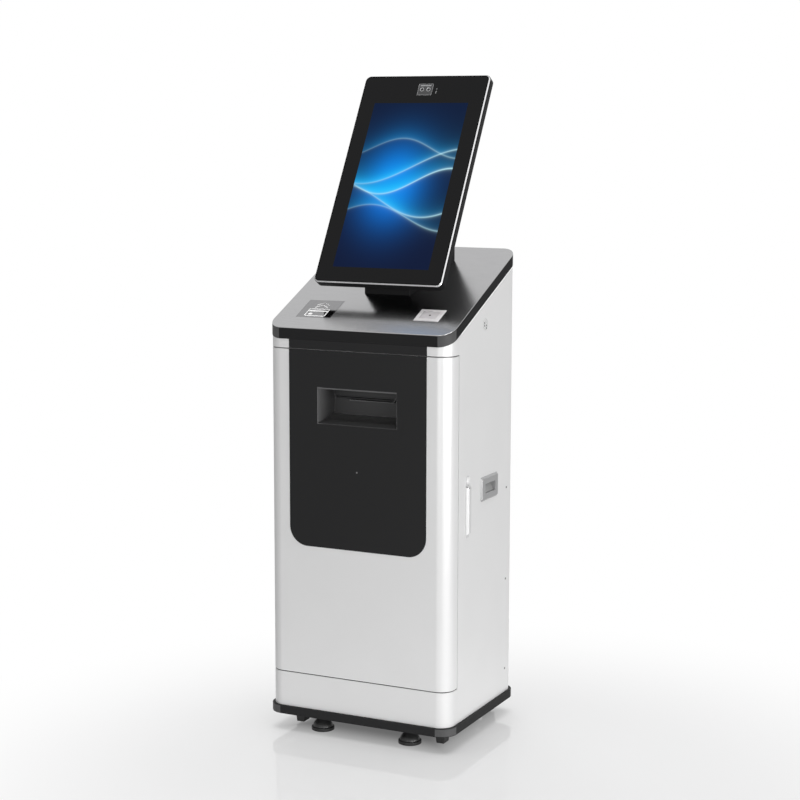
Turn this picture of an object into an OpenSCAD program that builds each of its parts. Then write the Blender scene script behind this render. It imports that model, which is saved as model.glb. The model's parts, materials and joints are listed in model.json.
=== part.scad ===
// Document printing kiosk: a rounded sheet-metal cabinet with a hinged front door and a paper
// recess, a sloping steel-topped counter with a card reader and a code scanner, a portrait touch
// screen on a pedestal, levelling feet and swivel casters.
// Each piece is drawn with y = 0 on the front face, y growing to the rear, and z = 0 under the
// base plate. place() then puts the origin on the floor under the middle of the whole kiosk.

/* [Cabinet] */
// Width of the cabinet
cab_w = 506; // [480:1:600]
// Depth of the cabinet
cab_d = 415; // [395:1:520]
// Radius of the cabinet's upright corners
corner_r = 37; // [24:1:45]
// Thickness of the sheet metal
sheet = 2; // [1.5:0.1:2.5]
// Width of the seams round the front door
seam = 2.4; // [1.6:0.1:3]
// Depth of the front pieces' wrap round the sides
wrap = 53; // [48:1:70]
// Width of the folded flanges
flange = 16; // [12:1:20]
// Height of the lower seam above the base plate's underside
kick_top = 112.5; // [80:0.5:160]
// Height of the upper seam above the base plate's underside
fascia_z = 950.2; // [935:0.1:960]
// Width of the rear panel
rear_w = 400; // [340:1:410]

/* [Base] */
// Height of the base plate
base_h = 21.3; // [18:0.1:30]
// Overhang of the base plate round the cabinet
base_lip = 7.5; // [6:0.1:12]
// Width of the base plate's rim
base_rim = 16; // [12:1:24]
// Thickness of the base plate's floor
base_floor = 4; // [3:0.5:6]
// Height of the base plate above the floor
floor_gap = 45; // [42:0.5:60]

/* [Counter] */
// Slope of the counter, in degrees
slope = 24; // [20:0.1:27]
// Thickness of the counter with its steel top
counter_t = 27; // [24:0.5:36]
// Height of the counter's front top edge above the base plate's underside
counter_z = 1003.6; // [995:0.1:1030]
// Thickness of the steel top
plate_t = 2; // [1:0.1:4]
// Overhang of the counter round the cabinet
counter_side = 1; // [0:0.5:4]
// Width of the card reader's window
nfc_w = 97.5; // [70:0.5:120]
// Length of the card reader's window along the slope
nfc_l = 88; // [60:1:110]
// Thickness of the card reader's window
nfc_t = 4; // [3:0.5:6]
// Middle of the card reader's window left of the centre line
nfc_x = 150; // [130:1:160]
// Middle of the card reader's window from the front edge, along the slope
nfc_s = 98; // [80:1:110]
// Width of the code scanner's frame
qr_w = 68; // [56:1:84]
// Length of the code scanner's frame along the slope
qr_l = 56; // [46:1:70]
// Width of the code scanner's window
qr_win_w = 46; // [36:1:50]
// Length of the code scanner's window along the slope
qr_win_l = 36; // [28:1:40]
// Height of the code scanner's frame above the counter
qr_rise = 2; // [1:0.5:4]
// Middle of the code scanner right of the centre line
qr_x = 159.5; // [140:0.5:180]
// Middle of the code scanner from the front edge, along the slope
qr_s = 92; // [75:1:110]
// Depth of the two readers' housings under the counter
reader_h = 40; // [34:1:50]
// Ledge that carries the card reader's window
card_ledge = 10; // [6:0.5:14]
// Ledge of the counter under the scanner's frame
scan_ledge = 4; // [3:0.5:5]

/* [Front door] */
// Width of the black front panel
panel_w = 381.8; // [330:0.2:390]
// Height of the black panel's lower edge above the base plate's underside
panel_bottom = 448.3; // [380:0.1:560]
// Radius of the black panel's lower corners
panel_r = 50; // [20:1:70]
// Thickness of the black panel
panel_t = 1; // [0.6:0.1:2]
// Width of the paper recess
recess_w = 219; // [216:0.5:240]
// Height of the paper recess
recess_h = 90.4; // [80:0.2:110]
// Middle of the paper recess above the base plate's underside
recess_z = 811.1; // [790:0.1:830]
// Depth of the paper recess behind the front face
recess_d = 90; // [75:1:95]
// Thickness of the recess walls
chute_wall = 1.5; // [1:0.1:3]
// Rise of the recess floor towards the rear
chute_rise = 13; // [6:0.5:18]
// Width of the paper slot
slot_w = 214; // [212:0.5:215]
// Height of the paper slot
slot_h = 10; // [8:0.5:12]
// Middle of the paper slot above the middle of the recess
slot_up = 12; // [6:0.5:18]
// Width of the lip under the paper slot
lip_w = 124; // [90:1:180]
// Depth of the lip under the paper slot
lip_d = 10; // [6:0.5:16]
// Radius of the status light
light_r = 2.2; // [1.5:0.1:4]
// Height of the status light above the base plate's underside
light_z = 648.6; // [600:0.1:700]
// Radius of the hinge barrels
barrel_r = 3.2; // [2.8:0.1:3.4]
// Radius of the hinge pins
pin_r = 1.6; // [1.2:0.1:1.8]
// Height of each hinge
hinge_h = 84; // [60:1:120]
// Width of the hinge leaves
leaf_w = 30; // [20:1:34]

/* [Lock] */
// Middle of the lock's spindle behind the front face
lock_y = 107; // [100:0.5:114]
// Height of the lock's spindle above the base plate's underside
lock_z = 632; // [628:0.5:650]
// Radius of the spindle
spindle_r = 5; // [4:0.1:6]
// Radius of the spindle's domed cap
cap_r = 8; // [7.5:0.1:9.5]
// Width of the lever
lever_w = 18; // [16:0.5:22]
// Thickness of the lever
lever_t = 5.8; // [5:0.1:6]
// Length of the lever below the spindle
lever_l = 141; // [110:1:150]
// Thickness of the lock's backplate
esc_t = 1.2; // [0.8:0.1:1.3]
// Reach of the hook
hook_r = 43; // [40:0.5:48]
// Distance of the keeper's pin in front of the spindle
keeper_reach = 31; // [30:0.5:32]

/* [Side fittings] */
// Width of the flush pull's plate
pull_w = 106; // [90:1:130]
// Height of the flush pull's plate
pull_h = 62.6; // [50:0.2:80]
// Height of the flush pull's plate above the side
pull_rise = 4.5; // [3:0.5:6]
// Width of the flush pull's cup
cup_w = 64; // [50:1:80]
// Height of the flush pull's cup
cup_h = 24.4; // [22:0.2:36]
// Depth of the flush pull's cup behind the side
cup_d = 20; // [14:1:30]
// Middle of the flush pull behind the front face
pull_y = 243; // [225:1:260]
// Middle of the flush pull above the base plate's underside
pull_z = 593; // [560:1:610]
// Middle of the speaker behind the front face
speaker_y = 213; // [190:1:240]
// Height of the speaker above the base plate's underside
speaker_z = 1012; // [990:1:1020]
// Radius of the speaker
speaker_r = 22; // [20:0.5:28]
// Depth of the speaker
speaker_d = 18; // [12:1:26]
// Radius of the speaker holes
hole_r = 1.7; // [1:0.1:2.2]
// Distance between speaker holes
hole_step = 7; // [5:0.5:8]

/* [Screen] */
// Lean of the screen back from the vertical, in degrees
tilt = 30; // [26:0.5:34]
// Width of the screen glass
glass_w = 349.5; // [320:0.5:380]
// Height of the screen glass
glass_h = 594.6; // [560:0.2:620]
// Radius of the screen glass's corners
glass_r = 10; // [4:0.5:16]
// Thickness of the screen glass
glass_t = 4; // [3:0.5:5]
// Width of the lit picture
picture_w = 267.8; // [240:0.2:300]
// Height of the lit picture
picture_h = 476.1; // [440:0.1:500]
// Glass below the picture
chin = 40.2; // [30:0.1:60]
// Width of the bright chamfer round the glass
rim_w = 4.6; // [3:0.1:8]
// Thickness of the whole screen
screen_t = 24; // [22:0.5:34]
// Wall of the screen's rear housing
back_wall = 2.5; // [2:0.1:4]
// Thickness of the display panel
lcd_t = 11; // [8:0.5:12]
// Distance of the picture's lower edge behind the front face
screen_y = 127.9; // [120:0.1:140]
// Height of the picture's lower edge above the base plate's underside
screen_z = 1149.1; // [1140:0.1:1190]
// Width of the camera's window
cam_w = 40.6; // [30:0.2:60]
// Height of the camera's window
cam_h = 32.6; // [24:0.2:36]
// Middle of the camera's window below the glass's upper edge
cam_down = 38.1; // [30:0.1:46]

/* [Pedestal] */
// Width of the pedestal's front
stand_front_w = 127.2; // [90:0.2:180]
// Width of the pedestal's rear
stand_rear_w = 214; // [160:1:240]
// Width of the pedestal where its front corners end
stand_mid_w = 196; // [150:1:220]
// Depth of the pedestal's front corners
stand_corner = 76; // [30:1:110]
// Distance of the pedestal's front behind the front face
stand_y0 = 169; // [160:0.5:180]
// Distance of the pedestal's rear behind the front face
stand_y1 = 347; // [330:1:370]
// Height of the pedestal's top above the base plate's underside
stand_top = 1380; // [1300:5:1430]
// Wall of the pedestal
stand_wall = 3; // [2:0.5:5]

/* [Feet and casters] */
// Radius of a levelling foot
foot_r = 29.7; // [24:0.1:32]
// Height of a foot's rim
foot_rim = 9; // [6:0.5:12]
// Height of a foot's dome above the floor
foot_dome = 24; // [20:0.5:28]
// Radius of a foot's stud
stud_r = 6; // [4:0.5:8]
// Length of a stud above the base plate's underside
stud_up = 16; // [10:0.5:18]
// Feet from the cabinet's sides
foot_side = 128.2; // [124:0.2:140]
// Feet from the front and the rear
foot_y = 48.6; // [44:0.2:52]
// Casters' swivels from the cabinet's sides
caster_side = 52; // [48:0.5:55]
// Casters' swivels from the front and the rear
caster_y = 60.5; // [56:0.5:64]
// Trail of a caster's wheel behind its swivel
trail = 22.5; // [18:0.5:24]
// Radius of a caster's wheel
wheel_r = 15; // [13:0.5:16]
// Width of a caster's wheel
wheel_w = 12; // [9:0.5:13]
// Height of a caster's wheel above the floor, while the feet carry the kiosk
wheel_lift = 1.5; // [1:0.1:3]
// Width of a caster's fork at its top
fork_top_w = 32; // [28:0.5:36]
// Width of a caster's fork at its foot
fork_foot_w = 20; // [18.5:0.5:24]

/* [Rear] */
// Width of the vent slots
vent_w = 200; // [120:1:260]
// Height of a vent slot
vent_h = 5; // [3:0.5:7]
// Distance between vent slots
vent_step = 14; // [10:0.5:18]
// Rows of slots in each vent
vent_rows = 10; // [4:1:12]

/* [Inside] */
// Height of the printer's shelf above the base plate's underside
shelf_z = 520; // [480:1:530]
// Width of the printer
printer_w = 380; // [320:1:390]
// Depth of the printer
printer_d = 250; // [220:1:255]
// Height of the printer
printer_h = 358; // [345:1:380]
// Room between the paper recess and the printer
printer_room = 12; // [10:1:14]
// Radius of the lower exit roller
drive_r = 9; // [7:0.5:11]
// Radius of the upper exit roller
pinch_r = 6; // [5:0.5:8]
// Radius of the exit rollers' journals
journal_r = 3; // [2:0.1:3.5]
// Width of the paper cassette
cassette_w = 232; // [220:1:260]
// Height of the paper cassette
cassette_h = 56; // [40:1:70]
// Wall of the printer round its works
printer_wall = 12; // [8:1:14]
// Width of the computer
computer_w = 170; // [120:1:180]
// Depth of the computer
computer_d = 180; // [120:1:200]
// Height of the computer
computer_h = 45; // [30:1:60]
// Width of the power supply
supply_w = 110; // [90:1:140]
// Depth of the power supply
supply_d = 200; // [120:1:210]
// Height of the power supply
supply_h = 50; // [36:1:60]
// Width of the mains inlet's housing
inlet_w = 78; // [70:1:90]
// Height of the mains inlet's housing
inlet_h = 32; // [28:1:40]

/* [Hidden] */
$fn = 64;
white = "#e6e6e6";
black = "#262626";
dark = "#3a3a3c";
steel = "#b8b9bb";
grey = "#8f9092";
big = 2 * (cab_w + cab_d);
fit = 0.3;                       // gap between pieces that move past each other
run = 0.05;                      // radial clearance of pins and journals
loose = 0.5;                     // gap round an inner piece in its pocket
seat = 0.03;                     // gap under a piece that rests on a slope
body_top = counter_z + cab_d * tan(slope);
front_top = under_z(-counter_side);
card_seat_w = nfc_w - 2 * card_ledge;
card_seat_l = nfc_l - 2 * card_ledge;
scan_seat_w = qr_w - 2 * scan_ledge;
scan_seat_l = qr_l - 2 * scan_ledge;
scan_sink = 0.6;                 // scanner's window below the counter's top
scan_eye_r = 3;
scan_eye_d = 4;
frame_edge = 0.4;                // upright edge of the scanner's frame
door_z0 = kick_top + seam / 2;
door_z1 = fascia_z - seam / 2;
side_y0 = wrap + seam / 2;
door_y1 = wrap - seam / 2;
inner_x = cab_w / 2 - flange;
recess_z0 = recess_z - recess_h / 2;
slot_z = recess_z + slot_up;
chute_y1 = recess_d + chute_wall;
hinge_x = -cab_w / 2 - barrel_r - fit;
leaf_t = 1.5;
hinge_zs = [door_z0 + 1.4 * hinge_h, (door_z0 + door_z1) / 2, door_z1 - 1.4 * hinge_h];
knuckle = (hinge_h - 4 * fit) / 3;
keeper_t = 3;
keeper_h = 40;
keeper_edge = 4;
keeper_gap = 3;
keeper_pin_r = 3;
keeper_x = inner_x - keeper_gap - keeper_t;
keeper_pin_l = 9;
hook_t = 4;
hook_x = keeper_x - (keeper_pin_l + hook_t) / 2;
hook_finger = 7;
key = spindle_r * 1.3;           // side of the spindle's square inner end
lever_x = cab_w / 2 + esc_t + fit + lever_t / 2;
lever_pin_r = 1.5;
pivot_in = 0.5;                  // lever pin's place behind the middle of the lever
lever_pin_down = cap_r + lever_t / 2 + fit + 5;
tongue_w = 8;
pull_r = 6;
pull_edge = 0.6;
screw_r = 3;
screw_h = 0.6;
screw_zs = [85, 328, 572];
screw_in = 57;                   // side screws from the cabinet's rear
screw_y = cab_d - screw_in;
rear_screw_zs = [60, 420, 780, 1100];
rear_screw_in = 10;
vent_zs = [220, 860];
glass_up = glass_h - chin;       // top of the glass above the picture's lower edge
rim_back = rim_w + 1.4;          // depth of the rim's own wall behind the glass front
cam_x = 2.6;
cam_up = glass_up - cam_down;
lens_r = 4.5;
lens_step = 18.5;
lens_d = 1.5;
barrel_l = 8;
barrel_wall = 1.5;
foot_x = cab_w / 2 - foot_side;
foot_ys = [foot_y, cab_d - foot_y];
foot_places = [for (y = foot_ys) for (x = [-foot_x, foot_x]) [x, y]];
caster_x = cab_w / 2 - caster_side;
caster_ys = [caster_y, cab_d - caster_y];
caster_places = [for (y = caster_ys) for (x = [-caster_x, caster_x]) [x, y]];
boss_r = stud_r + 6;
boss_h = 12;
caster_plate_t = 2.5;
caster_plate_w = 46;
king_r = 4;
king_head = 2;
king_head_r = king_r + 2.5;
wheel_room = 1.2;                // gap round the wheel's tread in its fork
crown_h = 7;
axle_r = 2.5;
axle_z = -floor_gap + wheel_lift + wheel_r;
fork_z1 = -caster_plate_t - fit;
fork_z0 = axle_z - wheel_r + 3;
hub_step = 0.4;                  // gap beside the wheel in its fork
printer_y = chute_y1 + printer_room;
printer_z = shelf_z + sheet;
shelf_rear = 8;                  // shelf behind the printer
notch_room = 8;                  // depth of the printer's mouth behind its rollers
cassette_up = 8;                 // printer floor under the cassette
shelf_y1 = printer_y + printer_d + shelf_rear;
notch_d = 2 * drive_r + notch_room;
roller_y = printer_y + drive_r + 3;
shelf_lip = 4;
roller_l = slot_w - 6;
journal_l = 10;
bore_x = slot_w / 2 + journal_l + 1;
nip = 0.3;                       // gap between the exit rollers
roller_room = 2;                 // free room round the exit rollers
drive_z = slot_z - drive_r - nip / 2;
pinch_z = slot_z + pinch_r + nip / 2;
cassette_z = printer_z + cassette_up;
cassette_rear = 30;
cassette_d = printer_d - cassette_rear;
cassette_out = 3;
grip_w = 80;
grip_h = 16;
grip_d = 13;
works_z = cassette_z + cassette_h + printer_wall;
works_y = printer_y + notch_d + printer_wall;
inside_gap = 20;                 // half the room between the computer and the power supply
inside_y = 130;
inlet_x = 120;
inlet_z = base_h + inlet_h;
inlet_d = 30;
inlet_lip = 4;
inlet_lip_t = 2;
socket_in = 6;
socket_w = 26;
socket_h = 18;
socket_d = 20;
rocker_w = 14;
rocker_h = 20;
rocker_tilt = 8;
trunnion_r = 1.5;
trunnion_l = 3.5;
rocker_in = 8;
rocker_sink = 4;
rocker_room = 2;
rear_most = max(cab_d + base_lip,
                screen_y + (glass_up + rim_w) * sin(tilt) + screen_t * cos(tilt));
mid_y = (rear_most - base_lip) / 2;

// Shared shapes

// Puts a piece in the kiosk's own frame
module place() translate([0, -mid_y, floor_gap]) children();

// Rectangle with round corners, centred
module round_rect(w, h, r) {
    square([w - 2 * r, h], center = true);
    square([w, h - 2 * r], center = true);
    for (x = [-1, 1], y = [-1, 1])
        translate([x * (w / 2 - r), y * (h / 2 - r)]) circle(r);
}

// The cabinet's plan, drawn in by inset
module cab_plan(inset = 0)
    translate([0, cab_d / 2])
        round_rect(cab_w - 2 * inset, cab_d - 2 * inset, max(corner_r - inset, 1));

module cab_ring(t) difference() {
    cab_plan();
    cab_plan(t);
}

// The plan's part in front of y
module in_front_of(y) intersection() {
    children();
    translate([-big / 2, y - big]) square(big);
}

// Extrudes a side outline of (y, z) points by w across the middle
module across(w) rotate([90, 0, 90]) linear_extrude(w, center = true) children();

// Extrudes a front outline of (x, z) points from y back to y + t
module upright(y, t) translate([0, y + t, 0]) rotate([90, 0, 0]) linear_extrude(t) children();

module rod_x(r, x0, x1) translate([x0, 0, 0]) rotate([0, 90, 0]) cylinder(r = r, h = x1 - x0);

module rod_y(r, y0, y1) translate([0, y1, 0]) rotate([90, 0, 0]) cylinder(r = r, h = y1 - y0);

// Height of the counter's underside at y
function under_z(y) = counter_z - counter_t / cos(slope) + y * tan(slope);

// Everything over the cabinet's sloping top
module above_body()
    across(big)
        polygon([[-big, under_z(-big)], [big, under_z(big)], [big, 3 * big], [-big, 3 * big]]);

// The counter's own frame: x across, y up the slope from the front edge, z out of the top
module on_counter() translate([0, 0, counter_z]) rotate([slope, 0, 0]) children();

// The screen's own frame: x across, y up the picture from its lower edge, z out of the glass
module on_screen() translate([0, screen_y, screen_z]) rotate([90 - tilt, 0, 0]) children();

// A layer of the counter between two heights over its top, with upright sides
module counter_layer(z0, z1) intersection() {
    linear_extrude(2 * big) cab_plan(-counter_side);
    on_counter() translate([-big / 2, -big / 2, z0]) cube([big, big, z1 - z0]);
}

module glass_outline(grow = 0)
    translate([0, glass_h / 2 - chin])
        round_rect(glass_w + 2 * grow, glass_h + 2 * grow, glass_r + grow);

module recess_outline(grow = 0)
    translate([0, recess_z]) square([recess_w + 2 * grow, recess_h + 2 * grow], center = true);

// Cabinet

module base_plate() color(black) difference() {
    union() {
        difference() {
            linear_extrude(base_h) cab_plan(-base_lip);
            translate([0, 0, base_floor]) linear_extrude(base_h) cab_plan(base_rim - base_lip);
        }
        for (p = foot_places)
            translate([p.x, p.y, 0]) cylinder(r = boss_r, h = base_floor + boss_h);
    }
    for (p = foot_places)
        translate([p.x, p.y, -1]) cylinder(r = stud_r + fit, h = base_floor + boss_h + 2);
}

module kick_panel() color(white) translate([0, 0, base_h]) {
    h = kick_top - seam / 2 - base_h;
    linear_extrude(h) in_front_of(side_y0) cab_ring(sheet);
    translate([0, 0, h - sheet]) linear_extrude(sheet) in_front_of(side_y0) cab_ring(flange);
}

module pull_place() translate([cab_w / 2, pull_y, pull_z]) rotate([90, 0, 90]) children();

module speaker_place()
    translate([cab_w / 2 - sheet, speaker_y, speaker_z]) rotate([0, 90, 0]) children();

module side_panel() difference() {
    translate([0, 0, base_h]) linear_extrude(body_top - base_h) {
        intersection() {
            cab_ring(sheet);
            translate([rear_w / 2, side_y0]) square([cab_w, cab_d]);
        }
        translate([inner_x, side_y0]) square([flange, sheet]);
    }
    above_body();
    pull_place() translate([0, 0, -2 * sheet])
        linear_extrude(3 * sheet) square([cup_w + 2 * sheet, cup_h + 2 * sheet], center = true);
    speaker_place() {
        for (i = [-2:2], j = [-2:2])
            if (abs(i + j) < 3)
                translate([hole_step * (i + j / 2), hole_step * j * sin(60), -sheet])
                    cylinder(r = hole_r, h = 3 * sheet);
    }
}

module side_panel_right() color(white) difference() {
    side_panel();
    translate([0, lock_y, lock_z]) rod_x(spindle_r + fit, cab_w / 2 - 2 * sheet, cab_w / 2 + sheet);
}

module side_panel_left() color(white) mirror([1, 0, 0]) side_panel();

module inlet_outline(grow = 0)
    translate([inlet_x, inlet_z]) square([inlet_w + 2 * grow, inlet_h + 2 * grow], center = true);

module rear_panel() color(white) difference() {
    w = rear_w - 2 * fit;
    union() {
        translate([-w / 2, cab_d - sheet, base_h]) cube([w, sheet, body_top - base_h]);
        for (x = [-w / 2, w / 2 - sheet])
            translate([x, cab_d - flange, base_h]) cube([sheet, flange, body_top - base_h]);
    }
    above_body();
    for (z0 = vent_zs, i = [0:vent_rows - 1])
        translate([-vent_w / 2, cab_d - 2 * sheet, z0 + vent_step * i])
            cube([vent_w, 3 * sheet, vent_h]);
    upright(cab_d - 2 * sheet, 3 * sheet) inlet_outline();
}

module fascia_corners() color(white) difference() {
    z0 = fascia_z + seam / 2;
    union() {
        translate([0, 0, z0]) linear_extrude(body_top - z0) in_front_of(side_y0) cab_ring(sheet);
        for (z = [z0, front_top - sheet])
            translate([0, 0, z]) linear_extrude(sheet) in_front_of(side_y0) cab_ring(flange);
    }
    above_body();
    translate([-panel_w / 2, -big / 2, 0]) cube([panel_w, big, body_top]);
}

module fascia_centre() color(black) difference() {
    z0 = fascia_z + seam / 2;
    across(panel_w) {
        translate([-panel_t, z0]) square([panel_t + sheet, body_top - z0]);
        for (z = [z0, front_top - sheet])
            translate([-panel_t, z]) square([panel_t + flange, sheet]);
    }
    above_body();
}

module printer_shelf() color(steel) {
    w = cab_w - 2 * sheet;
    y0 = printer_y - shelf_lip;
    translate([-w / 2, y0, shelf_z]) cube([w, shelf_y1 - y0, sheet]);
    for (x = [-w / 2, w / 2 - sheet])
        translate([x, y0, shelf_z - flange]) cube([sheet, shelf_y1 - y0, flange]);
}

// Counter

// Boxes at the two readers, on the counter: width, length, lower face and height
module card_pocket(w, l, z0, h)
    translate([-nfc_x, nfc_s, z0]) linear_extrude(h) square([w, l], center = true);

module scan_pocket(w, l, z0, h)
    translate([qr_x, qr_s, z0]) linear_extrude(h) square([w, l], center = true);

module counter_core() color(black) difference() {
    counter_layer(-counter_t, -plate_t);
    on_counter() {
        card_pocket(nfc_w, nfc_l, -nfc_t, nfc_t);
        card_pocket(card_seat_w, card_seat_l, -2 * counter_t, 2 * counter_t);
        scan_pocket(scan_seat_w, scan_seat_l, -2 * counter_t, 2 * counter_t);
    }
}

module counter_plate() color(steel) difference() {
    counter_layer(-plate_t, 0);
    on_counter() {
        card_pocket(nfc_w, nfc_l, -nfc_t, 2 * nfc_t);
        scan_pocket(scan_seat_w, scan_seat_l, -counter_t, 2 * counter_t);
    }
}

module card_window() color(grey) on_counter() card_pocket(nfc_w, nfc_l, -nfc_t, nfc_t);

module card_reader() color(dark) on_counter()
    card_pocket(card_seat_w - 2 * fit, card_seat_l - 2 * fit, -reader_h, reader_h - nfc_t);

module scanner_frame() color("#d8d9da") on_counter() difference() {
    union() {
        hull() {
            scan_pocket(qr_w, qr_l, 0, frame_edge);
            scan_pocket(qr_w - 2 * qr_rise, qr_l - 2 * qr_rise, 0, qr_rise);
        }
        scan_pocket(scan_seat_w, scan_seat_l, -reader_h / 2, reader_h / 2);
    }
    scan_pocket(qr_win_w, qr_win_l, -2 * reader_h, 4 * reader_h);
}

module scanner() color(dark) on_counter() difference() {
    scan_pocket(qr_win_w, qr_win_l, -reader_h, reader_h - scan_sink);
    translate([qr_x, qr_s, -scan_eye_d]) cylinder(r = scan_eye_r, h = 2 * scan_eye_d);
}

// Screen and pedestal

module stand_profile(inset = 0) {
    // Rear plane of the screen, as y at a height z
    function back_y(z) = screen_y + (z - screen_z) * tan(tilt) + (screen_t + seat) / cos(tilt);
    function foot_z(y) = counter_z + y * tan(slope) + seat;
    knee = screen_z + (stand_y0 - screen_y - (screen_t + seat) / cos(tilt)) / tan(tilt);
    s = inset / cos(tilt);
    polygon([[stand_y0 + inset, foot_z(stand_y0 + inset)],
             [stand_y0 + inset, knee - s + inset * tan(tilt)],
             [back_y(stand_top - inset) + s, stand_top - inset],
             [stand_y1 - inset, stand_top - inset],
             [stand_y1 - inset, foot_z(stand_y1 - inset)]]);
}

module stand_plan(inset = 0) {
    f = stand_front_w / 2 - inset;
    r = stand_rear_w / 2 - inset;
    m = stand_mid_w / 2 - inset;
    y = stand_y0 + stand_corner;
    polygon([[-f, stand_y0], [f, stand_y0], [m, y], [r, stand_y1], [-r, stand_y1], [-m, y]]);
}

module pedestal() color(black) difference() {
    intersection() {
        across(big) stand_profile();
        linear_extrude(2 * stand_top) stand_plan();
    }
    intersection() {
        across(big) stand_profile(stand_wall);
        linear_extrude(2 * stand_top) stand_plan(stand_wall);
    }
}

module screen_back() color(black) on_screen() difference() {
    translate([0, 0, -screen_t]) linear_extrude(screen_t - rim_back) glass_outline(rim_w);
    translate([0, 0, back_wall - screen_t]) linear_extrude(screen_t) glass_outline(rim_w - back_wall);
}

module screen_rim() color("#d9dadb") on_screen() difference() {
    hull() {
        translate([0, 0, -rim_back]) linear_extrude(rim_back - rim_w) glass_outline(rim_w, $fn = 32);
        translate([0, 0, -rim_w]) linear_extrude(rim_w) glass_outline(0.4, $fn = 32);
    }
    translate([0, 0, -2 * rim_back]) linear_extrude(3 * rim_back) glass_outline();
}

module camera_outline(grow = 0)
    translate([cam_x, cam_up]) square([cam_w + 2 * grow, cam_h + 2 * grow], center = true);

module screen_glass() color("#1e1f20") on_screen() difference() {
    translate([0, 0, -glass_t]) linear_extrude(glass_t) glass_outline();
    translate([0, 0, -2 * glass_t]) linear_extrude(3 * glass_t) camera_outline();
}

module display_panel() color("#1c5fb0") on_screen() {
    edge = 9;
    translate([-picture_w / 2 - edge, -edge, -glass_t - lcd_t])
        cube([picture_w + 2 * edge, picture_h + 2 * edge, lcd_t]);
}

module camera_module() color(dark) on_screen() difference() {
    union() {
        translate([0, 0, -glass_t]) linear_extrude(glass_t - 0.1) camera_outline();
        for (i = [-1, 1])
            translate([cam_x + i * lens_step / 2, cam_up, -glass_t - barrel_l])
                cylinder(r = lens_r + barrel_wall, h = barrel_l + 1);
    }
    for (i = [-1, 1])
        translate([cam_x + i * lens_step / 2, cam_up, -lens_d]) cylinder(r = lens_r, h = 2 * lens_d);
}

// Side fittings

module flush_pull() pull_place() difference() {
    union() {
        hull() {
            linear_extrude(pull_edge) round_rect(pull_w, pull_h, pull_r, $fn = 32);
            linear_extrude(pull_rise)
                round_rect(pull_w - 2 * pull_rise, pull_h - 2 * pull_rise, pull_r - 2, $fn = 32);
        }
        translate([0, 0, -cup_d - sheet]) linear_extrude(cup_d + 2 * sheet)
            square([cup_w + 2 * sheet, cup_h + 2 * sheet], center = true);
    }
    translate([0, 0, -cup_d]) linear_extrude(2 * cup_d) square([cup_w, cup_h], center = true);
}

module flush_pulls() color(grey) {
    flush_pull();
    mirror([1, 0, 0]) flush_pull();
}

module speaker() speaker_place() {
    rotate([180, 0, 0]) rotate_extrude()
        polygon([[0, 2.5], [speaker_r - 4, 2.5], [speaker_r - 4, 0], [speaker_r, 0], [speaker_r, 4],
                 [speaker_r * 0.6, speaker_d - 5], [speaker_r * 0.6, speaker_d], [0, speaker_d]]);
}

module speakers() color(dark) {
    speaker();
    mirror([1, 0, 0]) speaker();
}

module screws() color(grey) {
    for (s = [-1, 1], z = screw_zs)
        translate([s * cab_w / 2 - (s < 0 ? screw_h : 0), screw_y, z]) rod_x(screw_r, 0, screw_h);
    for (x = [-1, 1], z = rear_screw_zs)
        translate([x * (rear_w / 2 - rear_screw_in), 0, z]) rod_y(screw_r, cab_d, cab_d + 2 * screw_h);
}

// Front door

module door_skin() color(white) difference() {
    union() {
        translate([0, 0, door_z0]) linear_extrude(door_z1 - door_z0) {
            in_front_of(door_y1) cab_ring(sheet);
            for (x = [-cab_w / 2, inner_x])
                translate([x, door_y1 - sheet]) square([flange, sheet]);
        }
        for (z = [door_z0, door_z1 - sheet])
            translate([0, 0, z]) linear_extrude(sheet) in_front_of(door_y1) cab_ring(flange);
    }
    upright(-sheet, 3 * sheet) recess_outline(chute_wall);
    translate([0, 0, light_z]) rod_y(light_r, -sheet, 2 * sheet);
}

module door_panel() color(black) difference() {
    upright(-panel_t, panel_t) {
        h = door_z1 - panel_bottom;
        translate([-panel_w / 2, panel_bottom + panel_r]) square([panel_w, h - panel_r]);
        translate([-panel_w / 2 + panel_r, panel_bottom]) square([panel_w - 2 * panel_r, h]);
        for (x = [-1, 1])
            translate([x * (panel_w / 2 - panel_r), panel_bottom + panel_r]) circle(panel_r);
    }
    upright(-2 * panel_t, 3 * panel_t) recess_outline(chute_wall);
    translate([0, 0, light_z]) rod_y(light_r, -2 * panel_t, panel_t);
}

module paper_chute() color(dark) {
    difference() {
        upright(-panel_t, chute_y1 + panel_t) recess_outline(chute_wall);
        upright(-2 * panel_t, recess_d + 2 * panel_t) recess_outline();
        translate([-slot_w / 2, recess_d - 1, slot_z - slot_h / 2]) cube([slot_w, chute_wall + 2, slot_h]);
    }
    across(recess_w) polygon([[0, recess_z0], [recess_d, recess_z0], [recess_d, recess_z0 + chute_rise]]);
    translate([-lip_w / 2, recess_d - lip_d, slot_z - slot_h / 2 - chute_wall])
        cube([lip_w, lip_d, chute_wall]);
}

module status_light() color("#f0f0f0")
    translate([0, 0, light_z]) rod_y(light_r, -panel_t - fit, 3 * sheet);

module door_keeper() color(steel) {
    z0 = lock_z - keeper_h / 2;
    y1 = lock_y - keeper_reach + keeper_pin_r + keeper_edge;
    translate([keeper_x, door_y1, z0]) cube([flange, seam * 0.7, keeper_h]);
    translate([keeper_x, door_y1, z0]) cube([keeper_t, y1 - door_y1, keeper_h]);
    translate([0, lock_y - keeper_reach, lock_z])
        rod_x(keeper_pin_r, keeper_x - keeper_pin_l, keeper_x + keeper_t / 2);
}

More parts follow.
